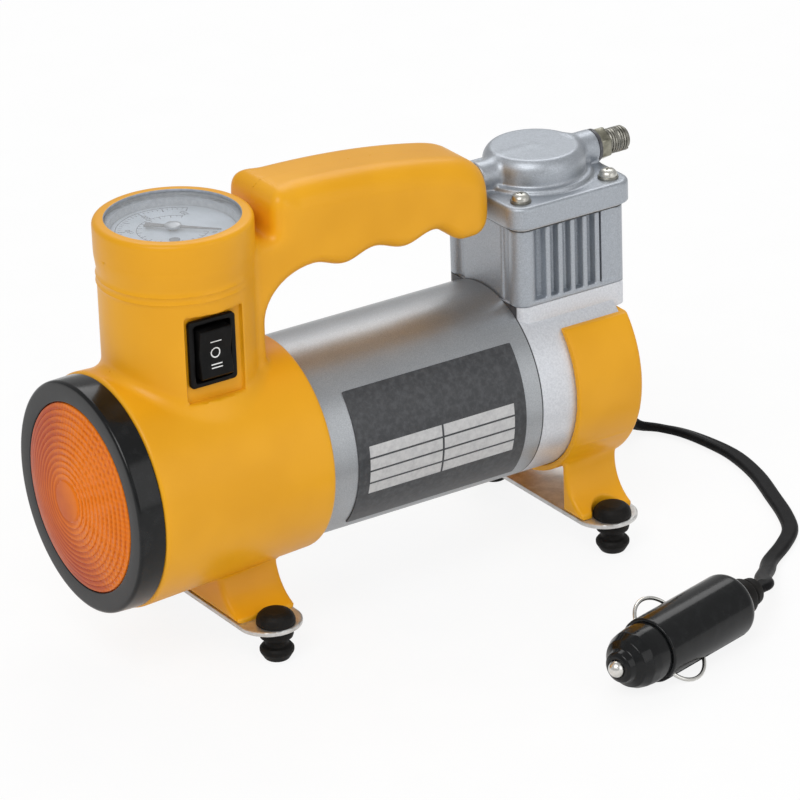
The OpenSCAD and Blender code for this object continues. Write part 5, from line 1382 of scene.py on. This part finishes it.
def threadTree():
    # A ridge wound along an axis
    tree, ids, w = startTree("woundThread", {
        "Turns": ("Float", 10.0), "Radius": ("Float", 3.7), "Length": ("Float", 8.0), "Ridge": ("Float", 0.3),
        "Start": ("Vector", (0.0, 0.0, 0.0)), "Finish": ("Material", None)})
    coil = w["Turns"].node("GeometryNodeCurveSpiral", {
        "Resolution": 48, "Rotations": w["Turns"], "Start Radius": w["Radius"], "End Radius": w["Radius"],
        "Height": w["Length"]})
    edge = coil.node("GeometryNodeCurvePrimitiveCircle", {"Resolution": 6, "Radius": w["Ridge"]},
                     mode="RADIUS")
    ridge = coil.node("GeometryNodeCurveToMesh", {"Curve": coil, "Profile Curve": edge, "Fill Caps": True})
    endTree(tree, ridge.node("GeometryNodeTransform", {
        "Geometry": ridge, "Rotation": (-math.pi / 2, 0, 0), "Translation": w["Start"]}), w["Finish"])
    return tree, ids


def makeOutlet(p):
    at = (0, 0, p["z"])
    root, b, sp = p["d"] / 2 - p["deep"], p["bore"] / 2, p["spigot"] / 2
    run = p["tip"] - p["thread"] - 1.3
    wound = growPiece("outletThread", *threadTree(), {
        "Turns": run / p["pitch"], "Radius": root, "Length": run, "Ridge": p["deep"] * 0.97,
        "Start": (0, p["thread"] + 0.7, p["z"]), "Finish": finish["threadSteel"]}, "housing", 40)
    core = softPath([(b, p["thread"]), (root - 0.05, p["thread"]), (root - 0.05, p["tip"]), (b, p["tip"])],
                    [0, 0, 0.5, 0.3])
    core = lathe("threadCore", core, "housing", at=at, steps=64)
    joinPieces(wound, dress(core, "threadSteel"))
    standIn(wound, "threadSteel")
    corner = p["af"] / 2 / math.cos(math.pi / 6)
    hexagon = [(corner * math.cos(a), corner * math.sin(a)) for a in np.radians(np.arange(30, 390, 60))]
    nut = prism("outletNut", hexagon, p["nut"], p["thread"], "y", "housing", 0.45, at)
    dress(nut, "nutSteel")
    spigot = lathe("outletSpigot", [(b, p["boss"] - 5), (sp, p["boss"] - 5), (sp, p["nut"]), (b, p["nut"])],
                   "housing", at=at, steps=64)
    joinPieces(nut, dress(spigot, "zinc"))
    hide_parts("outlet_fitting")


makeOutlet(outlet)
print("outlet made")


plug = {"body0": -50.0, "body1": -10.0, "r": 10.0, "seam": 0.28, "seamDeep": 9.5, "bore": 7.5, "slotY": -40.1,
        "loopR": 7.7, "wire": 1.2, "lobes": 9, "lobeDeep": 0.22}


def toPlug(x, y, z):
    # The other way round from plugPoint
    t, k = math.radians(cordPlan["plugTurn"]), math.radians(cordPlan["plugRoll"])
    dx, dy, w = (c - end for c, end in zip((x, y, z), cordPlan["plugEnd"]))
    u, v = dx * math.cos(t) + dy * math.sin(t), dy * math.cos(t) - dx * math.sin(t)
    return u * math.cos(k) - w * math.sin(k), v, u * math.sin(k) + w * math.cos(k)


def plugForm(x, y, z):
    p = plug
    u, v, w = toPlug(x, y, z)
    r = np.hypot(u, w)
    d = cutSoft(cutSoft(r - p["r"], p["body0"] - v, 0.5), v - p["body1"], 3.6)
    # The line where the halves meet, the bore, the way in for the cord and the slots of the side contacts
    return without(d, np.maximum(np.abs(w), p["seamDeep"] - r) - p["seam"],
                   np.maximum(r - p["bore"], v - p["body1"] + 4), np.maximum(r - 3, p["body1"] - 5 - v),
                   np.maximum(np.abs(w) - p["wire"] / 2 - 0.3, np.abs(v - p["slotY"]) - p["loopR"] - 1.1))


def boxAround(low, high):
    c = np.array([plugPoint(u, v, w) for u, v, w in np.array(np.meshgrid(*zip(low, high))).reshape(3, -1).T])
    return tuple(c.min(0) - 0.8), tuple(c.max(0) + 0.8)


plugBody = meshForm("plugBody", plugForm, *boxAround((-10, -50, -10), (10, -10, 10)), 0.42, "housing")
standIn(plugBody, "blackGloss", "plug_body")


def ribbed(r, h, a):
    # Soft lobes round the nose where a hand turns it
    share = np.clip((h + 60.5) / 3, 0, 1) * np.clip((-50.6 - h) / 2.5, 0, 1)
    return r - plug["lobeDeep"] * share * (0.5 - 0.5 * math.cos(plug["lobes"] * a)) if r > 7.2 else r


nose = softPath([(2.7, -64.4), (3.6, -64.4), (4.7, -63.9), (5.2, -61.8), (7.4, -60.4), (8.8, -57.6),
                 (9.1, -54.6), (9.1, -50), (7.4, -50), (7.4, -48.8), (4.5, -48.8), (4.5, -62.4),
                 (2.7, -62.4)],
                [0.2, 0.3, 0.8, 0.8, 0.8, 2, 1.4, 0.3, 0, 0.1, 0.1, 0.1, 0], 5)
plugNose = lathe("plugNose", nose, "housing", steps=144, turn=plugPoint, wave=ribbed)
standIn(plugNose, "blackGloss", "plug_nose")
relief = softPath([(0, -13), (3, -13), (3, -10), (6, -10), (5.6, -4.6), (4.6, -4.3), (4.2, -3.4), (4.6, -2.9),
                   (4.1, 0), (0, 0)],
                  [0, 0, 0, 0.3, 0.7, 0.3, 0.4, 0.3, 0.5, 0], 5)
plugRelief = lathe("plugStrainRelief", relief, "housing", steps=72, turn=plugPoint)
standIn(plugRelief, "rubber", "plug_strain_relief")
print("plug made")


# Pieces that keep their first shape and get a finish
carried = {
    "lamp_reflector": "chrome", "lamp_bulb": "bulb", "bulb_holder": "brass", "gauge_case": "case",
    "gauge_glass": "window", "bourdon_tube": "brass", "air_tube": "vinyl", "switch_terminals": "brass",
    "motor_can": "silver", "motor_magnets": "magnet", "motor_end_bell": "steel", "brush_holder": "board",
    "carbon_brushes": "carbon", "motor_shaft": "bright", "armature_core": "laminate",
    "armature_windings": "copper", "commutator": "copper", "crankcase": "sleeve", "shaft_bearing": "bright",
    "crank_disc": "steel", "connecting_rod": "cast", "wrist_pin": "bright", "piston": "cast",
    "piston_seal": "rubber", "head_gasket": "gasket", "valve_plate": "steel", "reed_valves": "bright",
    "outlet_washer": "needle", "cord_gland": "rubber", "lead_wires": "vinyl", "plug_tip": "bright",
    "plug_spring": "bright", "plug_fuse": "mark", "side_contact_near": "bright", "side_contact_far": "bright"}
for node, key in carried.items():
    for s in nodes[node].material_slots:
        s.material = finish[key]
print("carried pieces dressed:", len(carried))

tuple(toRow([cordPlan["exit"]])[0])


# White floor and world, then each lamp's place, aim, size and power
studio = {
    "floorSize": 6.0, "floorTone": (1.0, 1.0, 1.0), "worldTone": 0.448, "worldGlossy": 0.095,
    "worldThrough": 0.38, "lamps": {
        "keyLamp": ((0.55, -0.75, 1.15), (0, 0, 0.06), (0.8, 0.8), 8.5),
        "fillLamp": ((1.1, 0.35, 0.5), (0, 0, 0.06), (0.7, 0.9), 2.2),
        "backLamp": ((-0.6, 0.5, 1.0), (0, 0, 0.08), (0.9, 0.7), 4.5)}}


def seenShare(tree, glossy, through=1.0):
    # 1 for the camera, and the shares given for reflections and for light that comes through
    path = tree.nodes.new("ShaderNodeLightPath")
    seen = [Wire(tree, path.outputs[n]) for n in ("Is Camera Ray", "Is Glossy Ray", "Is Transmission Ray")]
    return seen[0].most(seen[1] * glossy).most(seen[2] * through)


def stageMaterial(tone):
    # White to the camera and in reflections, and it keeps the shadow
    mat = bpy.data.materials.new("floorPaper")
    mat.use_nodes = True
    tree = mat.node_tree
    tree.nodes.clear()
    start = Wire(tree, tree.nodes.new("ShaderNodeTexCoord").outputs["Object"])
    colour = start.noise(40.0).ramp(0.3, 0.7).mix(tone, [c * 0.995 for c in tone])
    diffuse = start.node("ShaderNodeBsdfDiffuse", {"Color": colour})
    glow = start.node("ShaderNodeEmission", {"Color": colour, "Strength": 1.0})
    mixed = start.node("ShaderNodeMixShader", {0: seenShare(tree, 0.35) * 0.88, 1: diffuse, 2: glow})
    tree.links.new(mixed.socket, tree.nodes.new("ShaderNodeOutputMaterial").inputs["Surface"])
    return mat


def makeStage(st):
    s = st["floorSize"]
    floor = meshObject("floor", [(-s, -s, 0), (s, -s, 0), (s, s, 0), (-s, s, 0)], [(0, 1, 2, 3)])
    floor.data.materials.append(stageMaterial(st["floorTone"]))
    floor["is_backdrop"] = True
    scene.world = bpy.data.worlds.new("studio")
    scene.world.use_nodes = True
    tree = scene.world.node_tree
    tree.nodes.clear()
    seen = seenShare(tree, st["worldGlossy"], st["worldThrough"])
    strength = seen * (1.0 - st["worldTone"]) + st["worldTone"]
    back = strength.node("ShaderNodeBackground", {"Color": (1, 1, 1, 1), "Strength": strength})
    tree.links.new(back.socket, tree.nodes.new("ShaderNodeOutputWorld").inputs["Surface"])


def addLamp(name, at, aim, size, power):
    data = bpy.data.lights.new(name, "AREA")
    data.shape = "RECTANGLE"
    data.size, data.size_y = size
    data.energy = power
    obj = addObject(name, data)
    obj.location = at
    obj.rotation_euler = (Vector(aim) - Vector(at)).to_track_quat("-Z", "Y").to_euler()


makeStage(studio)
for lampName, setting in studio["lamps"].items():
    addLamp(lampName, *setting)
scene.view_settings.view_transform = "Standard"
print("stage and lamps set")

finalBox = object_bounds()
str([[list(map(float, p)) for p in box] for box in (cadBox, finalBox)])
